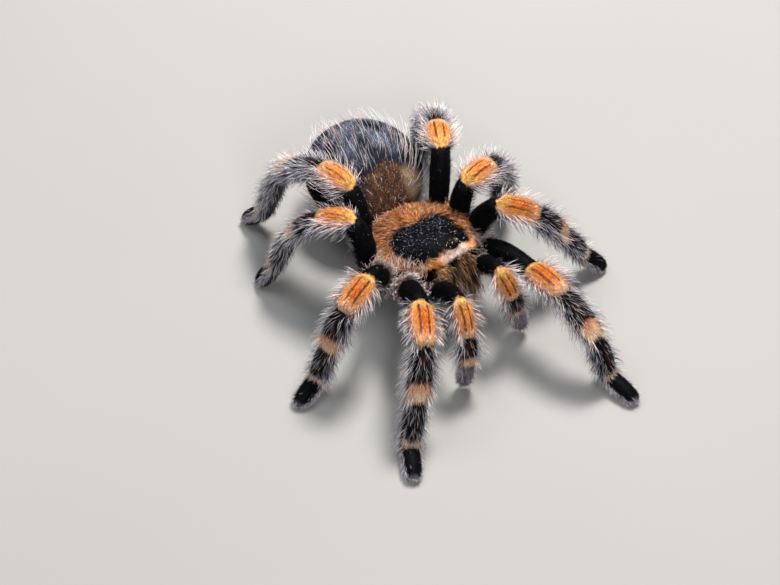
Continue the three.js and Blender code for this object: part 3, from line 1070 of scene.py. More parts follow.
    def patella(self, at: Places) -> Array:
        """Vivid orange, yellow at its root, peach at its end, rosy grey at the sides and dark underneath.

        Args:
            at: The spots.
        Returns:
            Their colours.
        """
        along = at.along + 0.03 * wander(at.point, 1.2, 19)
        off = at.off / (1 - 0.3 * np.clip(np.abs(along - 0.45) / 0.55, 0, 1) ** 2)
        light = self.stem(at, ("leg3", "leg4", "palp"))
        light = light + 0.4 * self.stem(at, ("leg3_right", "leg4_right", "palp"))
        glow = np.clip(0.3 + 0.45 * wander(at.point, 0.9, 20), 0, 1) * (1 - 0.6 * light)
        return layered(
            Tint.ORANGE.light,
            (Tint.EMBER, glow * ramp(off, 50, 5)),
            (Tint.AMBER, np.maximum(ramp(off, 16, 54) * 0.8, light * 0.45)),
            (Tint.SAFFRON, ramp(along, 0.26, 0.08) * 0.9),
            (Tint.PEACH, ramp(along, 0.6, 0.88) * 0.75),
            (Tint.CREAM, ramp(along, 0.88, 0.98) * 0.7),
            (Tint.PEACH, ramp(off, 48, 66) * 0.85),
            (Tint.MOUSE, ramp(off, 76, 98)),
            (Tint.SOOT, ramp(off, 100, 125)),
        )

    def band(self, at: Places, start: float, end: float) -> Array:
        """A pale band on a segment's back, from start to end along it."""
        along = at.along + 0.03 * wander(at.point, 1.4, 21)
        return ramp(along, start, start + 0.09) * ramp(along, end + 0.02, end - 0.02) * ramp(at.off, 92, 64)

    def seam(self, at: Places) -> Array:
        """The thin tawny line along a segment's back."""
        line = ramp(np.abs(at.x), 0.28, 0.1) * (at.off < 60)
        return line * ramp(at.along, 0.05, 0.15) * ramp(wander(at.point, 1.1, 22), -0.6, 0.5)

    def shin(self, at: Places, tawny: float) -> Array:
        """Black with a tawny line, greyer at the sides."""
        grey = ramp(at.off, 75, 120) * 0.2
        return layered(Tint.VELVET.light, (Tint.MOUSE, grey), (Tint.GINGER, self.seam(at) * tawny))

    def tibia(self, at: Places) -> Array:
        """A shin with a peach band towards its end.

        Args:
            at: The spots.
        Returns:
            Their colours.
        """
        along = at.along
        cream = ramp(along, 0.76, 0.9)
        peach = layered(Tint.GINGER.light, (Tint.PEACH, ramp(along, 0.58, 0.7)), (Tint.CREAM, cream))
        return mixed(self.shin(at, 0.3), peach, self.band(at, *self.TIBIA_BAND))

    def metatarsus(self, at: Places) -> Array:
        """A shin with a small pale end."""
        return mixed(self.shin(at, 0.2), Tint.CREAM.light, self.band(at, *self.METATARSUS_BAND))

    def tarsus(self, at: Places) -> Array:
        """A velvety black pad with a pale grey edge; a feeler's is grey all over.

        Args:
            at: The spots.
        Returns:
            Their colours.
        """
        edge = ramp(at.off, 58, 84) * ramp(at.off, 120, 100)
        edge = np.maximum(edge, ramp(at.along, 0.86, 0.97))
        edge = np.maximum(edge * 0.65, self.stem(at, ("palp",)) * 0.35 * ramp(at.off, 120, 90))
        return mixed(Tint.JET.light, Tint.ASH.light, edge)


# ---- The skin ----
@dataclass(frozen=True)
class SkinFinish:
    """The hide under the coat: leathery, finely creased, in the pattern's colours."""

    crease_size: float = 0.35
    pore_size: float = 0.12
    bump: float = 0.35
    roughness: Pair = (0.46, 0.7)

    def material(self) -> bpy.types.Material:
        """The node material, which reads the pattern and Object coordinates.

        Returns:
            The material.
        """
        tree = Nodes("hide")
        tone = tree.add("ShaderNodeAttribute", attribute_name="tone")
        place = tree.add("ShaderNodeTexCoord")
        crease = tree.noise(place.outputs["Object"], 1 / (self.crease_size * MM), 4)
        pores = tree.noise(place.outputs["Object"], 1 / (self.pore_size * MM), 2)
        stripe = tree.add("ShaderNodeAttribute", attribute_name="groove")
        colour = tree.mix(tone.outputs["Color"], (0.05, 0.022, 0.016, 1), stripe.outputs["Fac"])
        colour = tree.multiply(colour, tree.ramp(crease.outputs["Fac"], 0.55, 1.25))
        tree.link(colour, tree.shader.inputs["Base Color"])
        tree.link(tree.ramp(pores.outputs["Fac"], *self.roughness), tree.shader.inputs["Roughness"])
        bump = tree.add("ShaderNodeBump")
        bump.inputs["Strength"].default_value = self.bump
        bump.inputs["Distance"].default_value = 0.1 * MM
        tree.link(crease.outputs["Fac"], bump.inputs["Height"])
        tree.link(bump.outputs["Normal"], tree.shader.inputs["Normal"])
        tree.shader.inputs["Specular IOR Level"].default_value = 0.05
        return tree.material


class Nodes:
    """A material's nodes, with short cuts for adding and linking them."""

    SPAN = (0.3, 0.7)  # where most of a noise's values lie

    def __init__(self, name: str) -> None:
        """Makes a material and takes its tree and its one shader.

        Args:
            name: The material's name.
        """
        self.material = bpy.data.materials.new(name)
        self.material.use_nodes = True
        self.tree = self.material.node_tree
        self.shader = self.tree.nodes["Principled BSDF"]

    def add(self, kind: str, **settings: object) -> bpy.types.Node:
        """Adds a node with its settings.

        Args:
            kind: The node's kind.
            settings: Its settings.
        Returns:
            The node.
        """
        node = self.tree.nodes.new(kind)
        for key, value in settings.items():
            setattr(node, key, value)
        return node

    def link(self, source: Socket, target: Socket) -> None:
        """Joins an output to an input."""
        self.tree.links.new(source, target)

    def noise(self, where: Socket, scale: float, detail: float) -> bpy.types.Node:
        """A noise texture of a given scale.

        Args:
            where: Where it is looked up.
            scale: Its scale.
            detail: Its detail.
        Returns:
            The node.
        """
        node = self.add("ShaderNodeTexNoise")
        node.inputs["Scale"].default_value = scale
        node.inputs["Detail"].default_value = detail
        self.link(where, node.inputs["Vector"])
        return node

    def ramp(self, source: Socket, low: float, high: float) -> Socket:
        """A value from the middle of a noise's span, mapped to low..high.

        Args:
            source: The noise's output.
            low: The lower value.
            high: The higher value.
        Returns:
            The mapped value.
        """
        node = self.add("ShaderNodeMapRange")
        for end, value in zip(("From Min", "From Max", "To Min", "To Max"), (*self.SPAN, low, high)):
            node.inputs[end].default_value = value
        self.link(source, node.inputs["Value"])
        return node.outputs["Result"]

    def mix(
        self, under: Socket, over: tuple[float, ...], share: Socket
    ) -> Socket:
        """A fixed colour laid over another.

        Args:
            under: The colour underneath.
            over: The fixed colour.
            share: How much of it shows.
        Returns:
            The colour that shows.
        """
        node = self.add("ShaderNodeMix", data_type="RGBA")
        self.link(share, node.inputs[0])
        self.link(under, node.inputs[6])
        node.inputs[7].default_value = over
        return node.outputs[2]

    def multiply(self, colour: Socket, value: Socket) -> Socket:
        """A colour made darker or lighter by a value.

        Args:
            colour: The colour.
            value: The value.
        Returns:
            The changed colour.
        """
        node = self.add("ShaderNodeVectorMath", operation="SCALE")
        self.link(colour, node.inputs[0])
        self.link(value, node.inputs["Scale"])
        return node.outputs[0]


@dataclass
class Skin:
    """The one skin over every fleshy part."""

    plan: BodyPlan
    markings: Markings
    voxel: float = 0.42
    sides: int = 18
    body_sides: int = 40
    smooth_passes: int = 3
    shade: float = 0.8  # how bright the hide is, for the coat's pattern

    def build(self) -> Piece:
        """Lofts each part, joins them into one skin, and paints it.

        Returns:
            The skin.
        """
        forms = []
        for part in self.plan.parts:
            broad = part.region in (Region.CARAPACE, Region.ABDOMEN, Region.BREAST)
            sides = self.body_sides if broad else self.sides
            form = Bench.loft(part.name, part.rings, sides, part.under, part.crown)
            if part.region == Region.CARAPACE:
                self.arch(form)
                self.dent(form)
            Bench.place(form, part.placed)
            forms.append(form)
        skin = Bench.join(forms, "skin")
        Bench.modify(skin, "REMESH", mode="VOXEL", voxel_size=self.voxel * MM, use_smooth_shade=True)
        Bench.modify(skin, "SMOOTH", factor=0.5, iterations=self.smooth_passes)
        Bench.squeeze(skin, lambda co: co[:, 2] < SOLE * MM, 0, (0, 0, SOLE * MM))
        self.object = skin
        self.read()
        self.paint()
        return skin

    @staticmethod
    def arch(form: Piece) -> None:
        """Lifts the carapace's underside in steps towards the brow, clear of the jaws.

        Args:
            form: The carapace in its own axes.
        """
        for ahead, level in ((7.8, 0.3), (8.8, 0.8), (9.6, 1.2), (10.2, 1.6)):
            Bench.squeeze(
                form, lambda co, y=-ahead * MM, z=level * MM: (co[:, 1] < y) & (co[:, 2] < z), 0,
                (0, 0, level * MM),
            )

    def dent(self, form: Piece) -> None:
        """Sinks the pit behind the carapace's middle and the furrows that run out from it.

        Args:
            form: The carapace in its own axes.
        """
        pit = (0.0, 2.5)
        spokes = [(3.2, -6.0), (6.2, -2.6), (7.0, 2.0), (4.6, 6.2)]
        furrows = [(side * x, y) for x, y in spokes for side in (1, -1)]

        def near(co: Array, ends: Sequence[Pair], reach: float) -> Array:
            """The top's corners near a line from the pit to any of the ends.

            Args:
                co: The corners, in metres.
                ends: The ends.
                reach: How near.
            Returns:
                The test of each corner.
            """
            flat = co[:, :2] / MM
            start = np.array(pit)
            found = np.zeros(len(co), bool)
            for end in ends:
                way = np.array(end) - start
                t = np.clip((flat - start) @ way / (way @ way), 0.15, 1)
                found |= np.linalg.norm(flat - start - t[:, None] * way, axis=1) < reach
            return found & (co[:, 2] > 0.3 * MM)

        for ends, reach, depth in ((furrows, 0.55, 0.28), ([pit], 1.6, 0.45), ([pit], 0.8, 0.5)):
            Bench.select(form, lambda co, e=ends, r=reach: near(co, e, r))
            bpy.ops.object.mode_set(mode="EDIT")
            bpy.ops.transform.translate(value=(0, 0, -depth * MM))
            bpy.ops.object.mode_set(mode="OBJECT")

    def read(self) -> None:
        """Reads the finished skin's corners, normals and triangles."""
        mesh = self.object.data
        mesh.calc_loop_triangles()
        normals = np.empty(len(mesh.vertices) * 3, np.float32)
        mesh.vertex_normals.foreach_get("vector", normals)
        triangles = np.empty(len(mesh.loop_triangles) * 3, np.int32)
        mesh.loop_triangles.foreach_get("vertices", triangles)
        self.points = Bench.corners(mesh).astype(float) / MM
        self.normals = normals.reshape(-1, 3).astype(float)
        self.triangles = triangles.reshape(-1, 3)
        self.nearest = self.nearest_part(self.points)

    def nearest_part(self, points: Array) -> Array:
        """The part that each point lies on.

        Args:
            points: The points.
        Returns:
            The parts' numbers.
        """
        best = np.full(len(points), np.inf)
        nearest = np.zeros(len(points), int)
        for i, part in enumerate(self.plan.parts):
            own = part.local(points)
            away = part.nearness(own)
            if part.region == Region.CARAPACE:
                ahead = own[:, 1] + BROW_AT < 0
                away[ahead | ((own[:, 1] + BROW_AT < 0.7) & (own[:, 2] < BROW_UNDER))] += 9
            closer = away < best
            best[closer] = away[closer]
            nearest[closer] = i
        return nearest

    def places(self, points: Array, normals: Array, nearest: Array) -> Places:
        """The spots at these points, measured on the parts they lie on.

        Args:
            points: The points.
            normals: How the skin faces there.
            nearest: The numbers of the parts that they lie on.
        Returns:
            The spots.
        """
        local = np.zeros_like(points)
        along = np.zeros(len(points))
        for i in np.unique(nearest):
            part = self.plan.parts[i]
            chosen = nearest == i
            local[chosen] = part.local(points[chosen])
            first, last = part.rings[0].at, part.rings[-1].at
            if part.region in LEG_REGIONS or part.region == Region.COXA:
                first, last = 0.0, part.length
            along[chosen] = (local[chosen, 1] - first) / (last - first)
        turn = np.arctan2(local[:, 0], local[:, 2])
        return Places(points, normals, nearest, local, along, turn)

    def paint(self) -> None:
        """Writes the pattern and the bare grooves onto the skin's corners, and gives it its material."""
        places = self.places(self.points, self.normals, self.nearest)
        mesh = self.object.data
        tones = np.ones((len(self.points), 4), np.float32)
        tones[:, :3] = self.markings.tones(places) * self.shade
        layer = mesh.color_attributes.new("tone", "FLOAT_COLOR", "POINT")
        layer.data.foreach_set("color", tones.ravel())
        groove = mesh.attributes.new("groove", "FLOAT", "POINT")
        groove.data.foreach_set("value", groove_share(self.plan, places).astype(np.float32))
        mesh.materials.clear()
        mesh.materials.append(SkinFinish().material())


GROOVE_AT = 0.9  # how far from a knee's middle line its grooves lie, for its girth
GROOVE_HALF = 0.25  # half a groove's width


def groove_share(plan: BodyPlan, at: Places) -> Array:
    """The two bare grooves along a knee's back: 1 in a groove and 0 outside.

    Args:
        plan: The body's plan.
        at: The spots.
    Returns:
        The shares.
    """
    regions = plan.of(at, "region")
    away = np.abs(np.abs(at.x) - GROOVE_AT * plan.of(at, "girth"))
    knee = (regions == Region.PATELLA) * ramp(at.along, 0.05, 0.13) * ramp(at.along, 0.92, 0.8)
    shin = (regions == Region.TIBIA) * ramp(at.along, 0.1, 0.2) * ramp(at.along, 0.9, 0.7) * 0.6
    return ramp(away, GROOVE_HALF * 1.7, GROOVE_HALF * 0.6) * (knee + shin) * (at.off < 90)


def groove_edge(plan: BodyPlan, at: Places) -> Array:
    """The thin line along the inner side of each of a knee's grooves, where pale hairs lie.

    Args:
        plan: The body's plan.
        at: The spots.
    Returns:
        1 on the line and 0 off it.
    """
    away = np.abs(at.x) - GROOVE_AT * plan.of(at, "girth")
    reach = ramp(at.along, 0.06, 0.14) * ramp(at.along, 0.92, 0.8)
    return ramp(np.abs(away + 0.4), 0.22, 0.1) * reach * (at.off < 80)


# ---- The coat ----
Share = Callable[[Places], Array]


def everywhere(at: Places) -> Array:
    """The same all over."""
    return np.ones(len(at.point))


@dataclass(frozen=True)
class Hair:
    """One kind of hair.

    It has a density for each square millimetre, a least and a greatest length, a width at its root, a lift
    in degrees at its root and at its tip, and a number of sections. Its colour moves from the pattern's to
    one of its tips' by a share at its root and at its tip, and its shade varies between two values. It
    strays, curls and clumps by the amounts given, and is darkened at its root: a painted shade deep in the
    coat.
    """

    density: float
    length: Pair
    width: float
    lift: Pair
    sections: int = 1
    tips: tuple[Tint, ...] = ()
    share: Pair = (0.0, 0.0)
    shade: Pair = (0.8, 1.25)
    stray: float = 0.22
    where: Share = everywhere
    curl: float = 0.0
    clump: float = 0.0
    # The share of a hair's brightness kept at its root: a painted shade deep in the coat.
    root: float = 0.7


def off_the_right(at: Places) -> Array:
    """1 on the spider's left and in its middle, and 0 on its right."""
    return ramp(at.x, -5.0, -3.0)


def turned_within(low: float, high: float, soft: float = 12.0) -> Share:
    """The spots turned between two angles from a part's back, in degrees.

    Args:
        low: The lower angle, under 0 for a share that starts at the back.
        high: The higher angle.
        soft: How softly the share fades at both.
    Returns:
        The share of hairs that grow at each spot.
    """

    def share(at: Places) -> Array:
        """1 between the two angles and 0 outside."""
        return ramp(at.off, low - soft, low + soft) * ramp(at.off, high + soft, high - soft)

    return share


BELLY = turned_within(118, 270)
SHIN_COVERS = {"front": ("leg1", "leg2"), "rear": ("leg3", "leg4"), "feeler": ("palp",)}


@dataclass
class Coat:
    """The whole coat: solid hairs scattered over the skin, in pieces by kind."""

    plan: BodyPlan
    skin: Skin
    markings: Markings
    thinned: float = 1.0

    def __post_init__(self) -> None:
        """Lists the hairs of each region."""
        hairs: dict[Region, Iterable[Hair]] = {
            Region.ABDOMEN: self.abdomen_hairs(),
            Region.CARAPACE: self.carapace_hairs(),
            Region.MOUND: (
                Hair(14, (0.35, 0.6), 0.08, (30, 15)),
                Hair(2, (0.6, 1.0), 0.07, (60, 40), sections=2, tips=(Tint.GOLD,), share=(0.4, 0.9)),
            ),
            Region.JAW: self.jaw_hairs(),
            Region.BREAST: (Hair(8, (0.8, 1.3), 0.1, (30, 15), where=turned_within(95, 270)),),
            Region.SPINNERET: (Hair(12, (0.5, 0.9), 0.08, (25, 12), tips=(Tint.MOUSE,), share=(0, 0.5)),),
            Region.COXA: self.coxa_hairs(),
            Region.FEMUR: self.femur_hairs(),
            Region.PATELLA: self.patella_hairs(),
            Region.TIBIA: self.shin_hairs(*self.markings.TIBIA_BAND, (2.2, 4.2)),
            Region.METATARSUS: self.shin_hairs(*self.markings.METATARSUS_BAND, (1.8, 3.6)),
            Region.TARSUS: self.tarsus_hairs(),
        }
        self.hairs = {region: tuple(kinds) for region, kinds in hairs.items()}

    def abdomen_hairs(self) -> Iterator[Hair]:
        """Dark velvet, pale-tipped on top where the painted highlight lies, specks on the patch, and few but
        long white bristles.

        Returns:
            The kinds of hair.
        """
        patch = self.markings.patch
        earth = (Tint.RUST, Tint.GOLD, Tint.UMBER, Tint.UMBER, Tint.OLIVE, Tint.UMBER)
        yield Hair(14, (0.6, 1.0), 0.11, (24, 10), shade=(0.3, 1.4), clump=0.4)
        # Pale-tipped hairs only where the painted highlight lies on the top, carrying it into the coat.
        yield Hair(
            12, (0.8, 1.4), 0.1, (30, 12), tips=(Tint.STEEL, Tint.ASH, Tint.LILAC), share=(0.1, 0.9),
            shade=(0.6, 1.4), stray=0.3, where=self.markings.bloom, clump=0.4,
        )
        yield Hair(
            5, (0.5, 0.9), 0.14, (34, 14), tips=earth, share=(0.1, 0.9), shade=(0.3, 1.3), stray=0.6,
            where=patch,
        )
        yield Hair(
            2.2, (0.35, 0.6), 0.13, (50, 30), tips=(Tint.CREAM, Tint.GOLD, Tint.SAFFRON, Tint.FROST),
            share=(0.5, 1.0), shade=(0.4, 1.0), where=patch,
        )
        yield Hair(
            0.9, (0.9, 1.5), 0.12, (38, 15), tips=(Tint.GOLD, Tint.EMBER, Tint.SAFFRON), share=(0.4, 1.0),
            shade=(0.5, 1.1), stray=0.3, where=lambda at: 4 * patch(at) * (1 - patch(at)),
        )
        yield Hair(
            0.36, (3.8, 6.2), 0.14, (36, 10), sections=4,
            tips=(Tint.FROST, Tint.FROST, Tint.LILAC, Tint.ROSE), share=(0.4, 1.0), shade=(0.85, 1.2),
            stray=0.08, curl=0.3, where=lambda at: turned_within(-90, 122, 18)(at) * (1 - patch(at)),
        )
        yield Hair(
            0.35, (1.4, 2.6), 0.12, (40, 12), sections=2, tips=(Tint.FROST, Tint.ROSE, Tint.GOLD),
            share=(0.4, 1.0), shade=(0.6, 1.1), stray=0.15,
            where=lambda at: turned_within(-90, 100)(at) * ramp(at.y, 0.0, -8.0),
        )
        yield Hair(
            0.8, (1.8, 3.2), 0.1, (42, 20), sections=2, tips=(Tint.ASH,), share=(0.2, 0.8), where=BELLY
        )

    def carapace_hairs(self) -> Iterator[Hair]:
        """A coarse tawny fringe round the black mask, specks on the mask, and the pale combed brow.

        Returns:
            The kinds of hair.
        """
        marks = self.markings
        upper = turned_within(-90, 92, 6)
        fringe = (Tint.AMBER, Tint.PEACH, Tint.RUST, Tint.ROSE, Tint.GINGER)
        yield Hair(20, (0.5, 0.8), 0.1, (24, 10), shade=(0.4, 1.3), where=upper)
        yield Hair(
            12, (1.2, 2.3), 0.15, (40, 14), sections=2, tips=fringe, share=(0.0, 0.85), shade=(0.25, 1.5),
            stray=0.36, clump=0.6, root=0.3,
            where=lambda at: (1 - marks.mask(at)) * (1 - marks.brow(at)) * upper(at),
        )
        yield Hair(
            6, (2.0, 3.5), 0.15, (34, 8), sections=3, tips=(Tint.ROSE, Tint.PEACH, Tint.FROST),
            share=(0.1, 1.0), shade=(0.7, 1.2), stray=0.3, curl=0.4, clump=0.5, root=0.5,
            where=lambda at: ramp(marks.rim(at), 2.8, 0.9) * (1 - marks.brow(at)) * upper(at),
        )
        yield Hair(
            30, (0.8, 1.25), 0.11, (30, 8), sections=2, shade=(0.8, 1.4), stray=0.1, clump=0.1, root=1.0,
            where=lambda at: marks.brow(at) * self.facing_up(at),
        )
        yield Hair(
            9, (1.0, 1.4), 0.12, (32, 8), sections=2, tips=(Tint.CREAM, Tint.FROST, Tint.PEACH),
            share=(0.1, 0.9), shade=(0.8, 1.25), stray=0.1, root=1.0,
            where=lambda at: marks.brow(at) * self.facing_up(at) * off_the_right(at),
        )
        yield Hair(
            5, (0.5, 0.9), 0.12, (35, 15), tips=(Tint.STEEL, Tint.ASH, Tint.STEEL, Tint.LILAC),
            share=(0.2, 1.0), shade=(0.2, 1.0), stray=0.9, where=self.dusting,
        )
        yield Hair(
            0.5, (0.3, 0.45), 0.19, (45, 30), tips=(Tint.FROST, Tint.LILAC, Tint.CREAM), share=(0.8, 1.0),
            where=lambda at: marks.mask(at) * upper(at),
        )

    def facing_up(self, at: Places) -> Array:
        """1 where the skin faces upwards and 0 where it faces the floor or the front."""
        return ramp(at.normal @ self.plan.shield[:3, 2], 0.1, 0.4)

    def dusting(self, at: Places) -> Array:
        """Where pale specks lie on the black mask: mostly behind and on the spider's right."""
        behind = ramp(at.y, -8.0, -1.0) * ramp(at.x, 7.0, -1.0)
        return self.markings.mask(at) * (at.off < 92) * (0.15 + 0.85 * behind)

    def jaw_hairs(self) -> Iterator[Hair]:
        """Golden streaks combed downwards, long grey bristles in the middle and a red brush underneath.

        Returns:
            The kinds of hair.
        """
        streaks = (Tint.GOLD, Tint.SAFFRON, Tint.ASH, Tint.UMBER)
        yield Hair(20, (1.0, 1.6), 0.1, (14, 3), shade=(0.3, 1.1), stray=0.06)
        yield Hair(
            12, (1.6, 2.8), 0.12, (14, 2), sections=2, tips=streaks, share=(0.1, 0.9), shade=(0.4, 1.7),
            stray=0.04, where=self.markings.streak, root=0.6,
        )
        yield Hair(
            2.0, (3.0, 5.0), 0.13, (34, 6), sections=3, tips=(Tint.ASH, Tint.LILAC, Tint.GOLD, Tint.FROST),
            share=(0.05, 0.95), shade=(0.6, 1.2), stray=0.12, curl=0.2,
            where=lambda at: ramp(at.along, 0.15, 0.6) * turned_within(-90, 110)(at),
        )
        yield Hair(
            7, (1.0, 1.7), 0.09, (38, 20), sections=2, tips=(Tint.EMBER,), share=(0.4, 0.7),
            where=turned_within(135, 270),
        )

    def coxa_hairs(self) -> Iterator[Hair]:
        """Velvet, with arcs of long rosy white hair where the limb leaves the body.

        Returns:
            The kinds of hair.
        """
        yield Hair(12, (0.7, 1.1), 0.1, (26, 12))
        yield Hair(
            3.6, (2.4, 4.0), 0.16, (70, -16), sections=4, tips=(Tint.FROST, Tint.ROSE, Tint.FROST, Tint.ASH),
            share=(0.1, 1.0), shade=(0.6, 1.2), stray=0.2, curl=0.3, clump=0.2, root=0.3,
            where=lambda at: ramp(at.along, 0.3, 0.6) * turned_within(-90, 100)(at),
        )
        yield Hair(
            3, (1.2, 2.2), 0.09, (40, 20), sections=2, tips=(Tint.MOUSE,), share=(0.2, 0.7), where=BELLY
        )

    def femur_hairs(self) -> Iterator[Hair]:
        """Short black velvet, a few pale specks, and rosy white hair round the root.

        Returns:
            The kinds of hair.
        """
        near = self.markings.NEAR_HIPS
        stem = self.markings.stem
        yield Hair(24, (0.55, 0.85), 0.1, (28, 14), shade=(0.6, 1.3), where=turned_within(-90, 150))
        yield Hair(
            0.35, (0.3, 0.5), 0.12, (30, 15), tips=(Tint.FROST, Tint.STEEL), share=(0.4, 0.9),
            shade=(0.4, 1.0), stray=0.5,
        )
        yield Hair(
            3.5, (1.6, 3.2), 0.1, (52, 22), sections=2, tips=(Tint.MOUSE, Tint.ASH, Tint.LILAC),
            share=(0.1, 0.9), where=turned_within(112, 270),
        )
        yield Hair(
            4, (2.0, 3.6), 0.15, (66, -12), sections=4, tips=(Tint.ROSE, Tint.FROST, Tint.FROST, Tint.ASH),
            share=(0.1, 1.0), shade=(0.6, 1.2), stray=0.2, curl=0.3, clump=0.2, root=0.3,
            where=lambda at: ramp(at.along, 0.3, 0.08) * turned_within(-90, 105)(at),
        )
        yield Hair(
            5, (3.0, 4.8), 0.17, (52, -14), sections=4, tips=(Tint.ROSE, Tint.FROST, Tint.FROST),
            share=(0.2, 1.0), shade=(0.8, 1.3), stray=0.1, curl=0.3, clump=0.2, root=0.3,
            where=lambda at: stem(at, near) * ramp(at.along, 0.4, 0.3) * turned_within(-90, 95)(at),
        )
        yield Hair(
            4, (1.2, 2.2), 0.1, (44, 18), sections=2, tips=(Tint.ASH, Tint.LILAC), share=(0.1, 0.9),
            shade=(0.5, 1.0), stray=0.3,
            where=lambda at: ramp(at.along, 0.84, 0.98) * turned_within(60, 150)(at),
        )

    def bare(self, at: Places) -> Array:
        """0 in a groove, where no hair grows, and 1 elsewhere."""
        return 1 - 0.95 * np.minimum(1, groove_share(self.plan, at) * 1.3)

    def patella_hairs(self) -> Iterator[Hair]:
        """Sleek orange fur on the back and long silvery hair at the sides.

        Returns:
            The kinds of hair.
        """
        back = turned_within(-90, 64)
        silver = (Tint.FROST, Tint.FROST, Tint.LILAC, Tint.ASH)
        yield Hair(
            28, (0.7, 1.1), 0.14, (17, 3), sections=2, shade=(0.35, 1.5), stray=0.08,
            where=lambda at: back(at) * self.bare(at), clump=0.15, root=0.5,
        )
        yield Hair(
            3, (1.0, 1.6), 0.13, (20, 5), sections=2, tips=(Tint.CREAM, Tint.SAFFRON, Tint.AMBER),
            share=(0.1, 0.8), shade=(0.7, 1.3), stray=0.1, root=0.6,
            where=lambda at: back(at) * self.bare(at),
        )
        yield Hair(
            9, (0.9, 1.4), 0.12, (20, 3), sections=2, tips=(Tint.CREAM, Tint.SAFFRON), share=(0.2, 0.7),
            shade=(0.9, 1.2), stray=0.05, where=lambda at: groove_edge(self.plan, at),
        )
        yield Hair(
            8, (1.0, 2.0), 0.12, (40, 14), sections=2, tips=(*silver, Tint.PEACH), share=(0.0, 0.85),
            shade=(0.6, 1.1), stray=0.25, where=turned_within(55, 112),
        )
        yield Hair(
            4.4, (2.2, 4.2), 0.17, (66, 32), sections=3, tips=silver, share=(0.1, 1.0), shade=(0.8, 1.2),
            where=turned_within(60, 125), curl=0.35,
        )
        yield Hair(
            9, (0.9, 1.6), 0.1, (28, 12), tips=(Tint.MOUSE,), share=(0, 0.4), where=turned_within(72, 270)
        )

    def shin_hairs(self, start: float, end: float, long: Pair) -> Iterator[Hair]:
        """The coat of a tibia or metatarsus, thinner over its pale band.

        Args:
            start: Where along it the band starts.
            end: Where the band ends.
            long: How long the side hairs are.
        Returns:
            The kinds of hair.
        """
        marks = self.markings
        silver = (Tint.FROST, Tint.FROST, Tint.LILAC, Tint.ASH, Tint.STEEL)
        top = turned_within(-90, 60)
        yield Hair(17, (0.8, 1.3), 0.11, (24, 8), shade=(0.4, 1.2), where=self.bare)
        yield Hair(
            2.2, (long[0] * 0.7, long[1] * 0.7), 0.13, (40, 15), sections=3, tips=silver, share=(0.0, 0.9),
            shade=(0.7, 1.15), stray=0.2, curl=0.3, clump=0.2,
            where=lambda at: top(at) * (1 - 0.85 * marks.band(at, start, end)),
        )
        yield Hair(
            4.6, long, 0.15, (56, 26), sections=3, tips=silver, share=(0.0, 1.0), shade=(0.75, 1.2),
            where=turned_within(45, 132), curl=0.3, clump=0.2,
        )
        yield Hair(
            9, (0.8, 1.3), 0.12, (24, 8), tips=(Tint.CREAM, Tint.FROST, Tint.PEACH), share=(0.2, 0.8),
            shade=(0.8, 1.35), stray=0.15, where=lambda at: marks.band(at, start, end),
        )
        # Painted light: extra silvery side hair only on the legs that stand in the light, the left third leg
        # and both fourth legs; the right third leg, in shade, goes without.
        yield Hair(
            3.4, long, 0.16, (60, 30), sections=3, tips=silver, share=(0.1, 1.0), shade=(0.8, 1.3),
            stray=0.26, curl=0.35, clump=0.2,
            where=lambda at: marks.stem(at, ("leg3_left", "leg4")) * turned_within(15, 125)(at),
        )
        yield Hair(
            4, (1.5, 2.8), 0.11, (42, 18), sections=2, tips=(Tint.MOUSE, Tint.ASH), share=(0.0, 0.6),
            where=BELLY,
        )

    def tarsus_hairs(self) -> Iterator[Hair]:
        """Dense velvet on the pad with a silvery edge.

        Returns:
            The kinds of hair.
        """
        silver = (Tint.FROST, Tint.LILAC, Tint.ASH)
        edge = turned_within(56, 112, 8)
        yield Hair(26, (0.5, 0.85), 0.1, (24, 8), shade=(0.5, 1.3))
        yield Hair(
            10, (0.9, 1.5), 0.13, (46, 18), sections=2, tips=silver, share=(0.1, 1.0), shade=(0.7, 1.15),
            stray=0.25, where=lambda at: np.maximum(edge(at), ramp(at.along, 0.88, 0.97)), curl=0.2,
        )
        yield Hair(
            6, (1.0, 2.0), 0.13, (44, 18), sections=2, tips=silver, share=(0.0, 0.9), shade=(0.6, 1.1),
            stray=0.3, where=lambda at: self.markings.stem(at, ("palp",)), curl=0.2,
        )
        yield Hair(10, (0.6, 0.8), 0.09, (50, 30), tips=(Tint.MOUSE,), share=(0.0, 0.3), where=BELLY)
        yield Hair(0.2, (1.4, 2.4), 0.1, (55, 25), sections=2, tips=silver, share=(0.1, 0.9))

    def covers(self) -> Iterator["Cover"]:
        """The coat's pieces.

        Returns:
            The pieces, in the order they are grown.
        """
        yield Cover("coat_abdomen", "body_coat", (Region.ABDOMEN, Region.SPINNERET))
        yield Cover("coat_carapace", "body_coat", (Region.CARAPACE, Region.MOUND))
        yield Cover("coat_jaws", "jaw_coat", (Region.JAW,))
        yield Cover("coat_hips", "limb_coat", (Region.COXA, Region.BREAST))
        for side, word in SIDES:
            yield Cover(f"coat_femora_{word}", "femur_velvet", (Region.FEMUR,), (side,))
            yield Cover(f"coat_knees_{word}", "knee_coat", (Region.PATELLA,), (side,))
            for pair, limbs in SHIN_COVERS.items():
                shins = (Region.TIBIA, Region.METATARSUS, Region.TARSUS)
                yield Cover(f"coat_shins_{pair}_{word}", "limb_coat", shins, (side,), limbs)

    def build(self) -> list[Piece]:
        """Grows every piece of the coat."""
        return [self.grow(cover, seed) for seed, cover in enumerate(self.covers())]

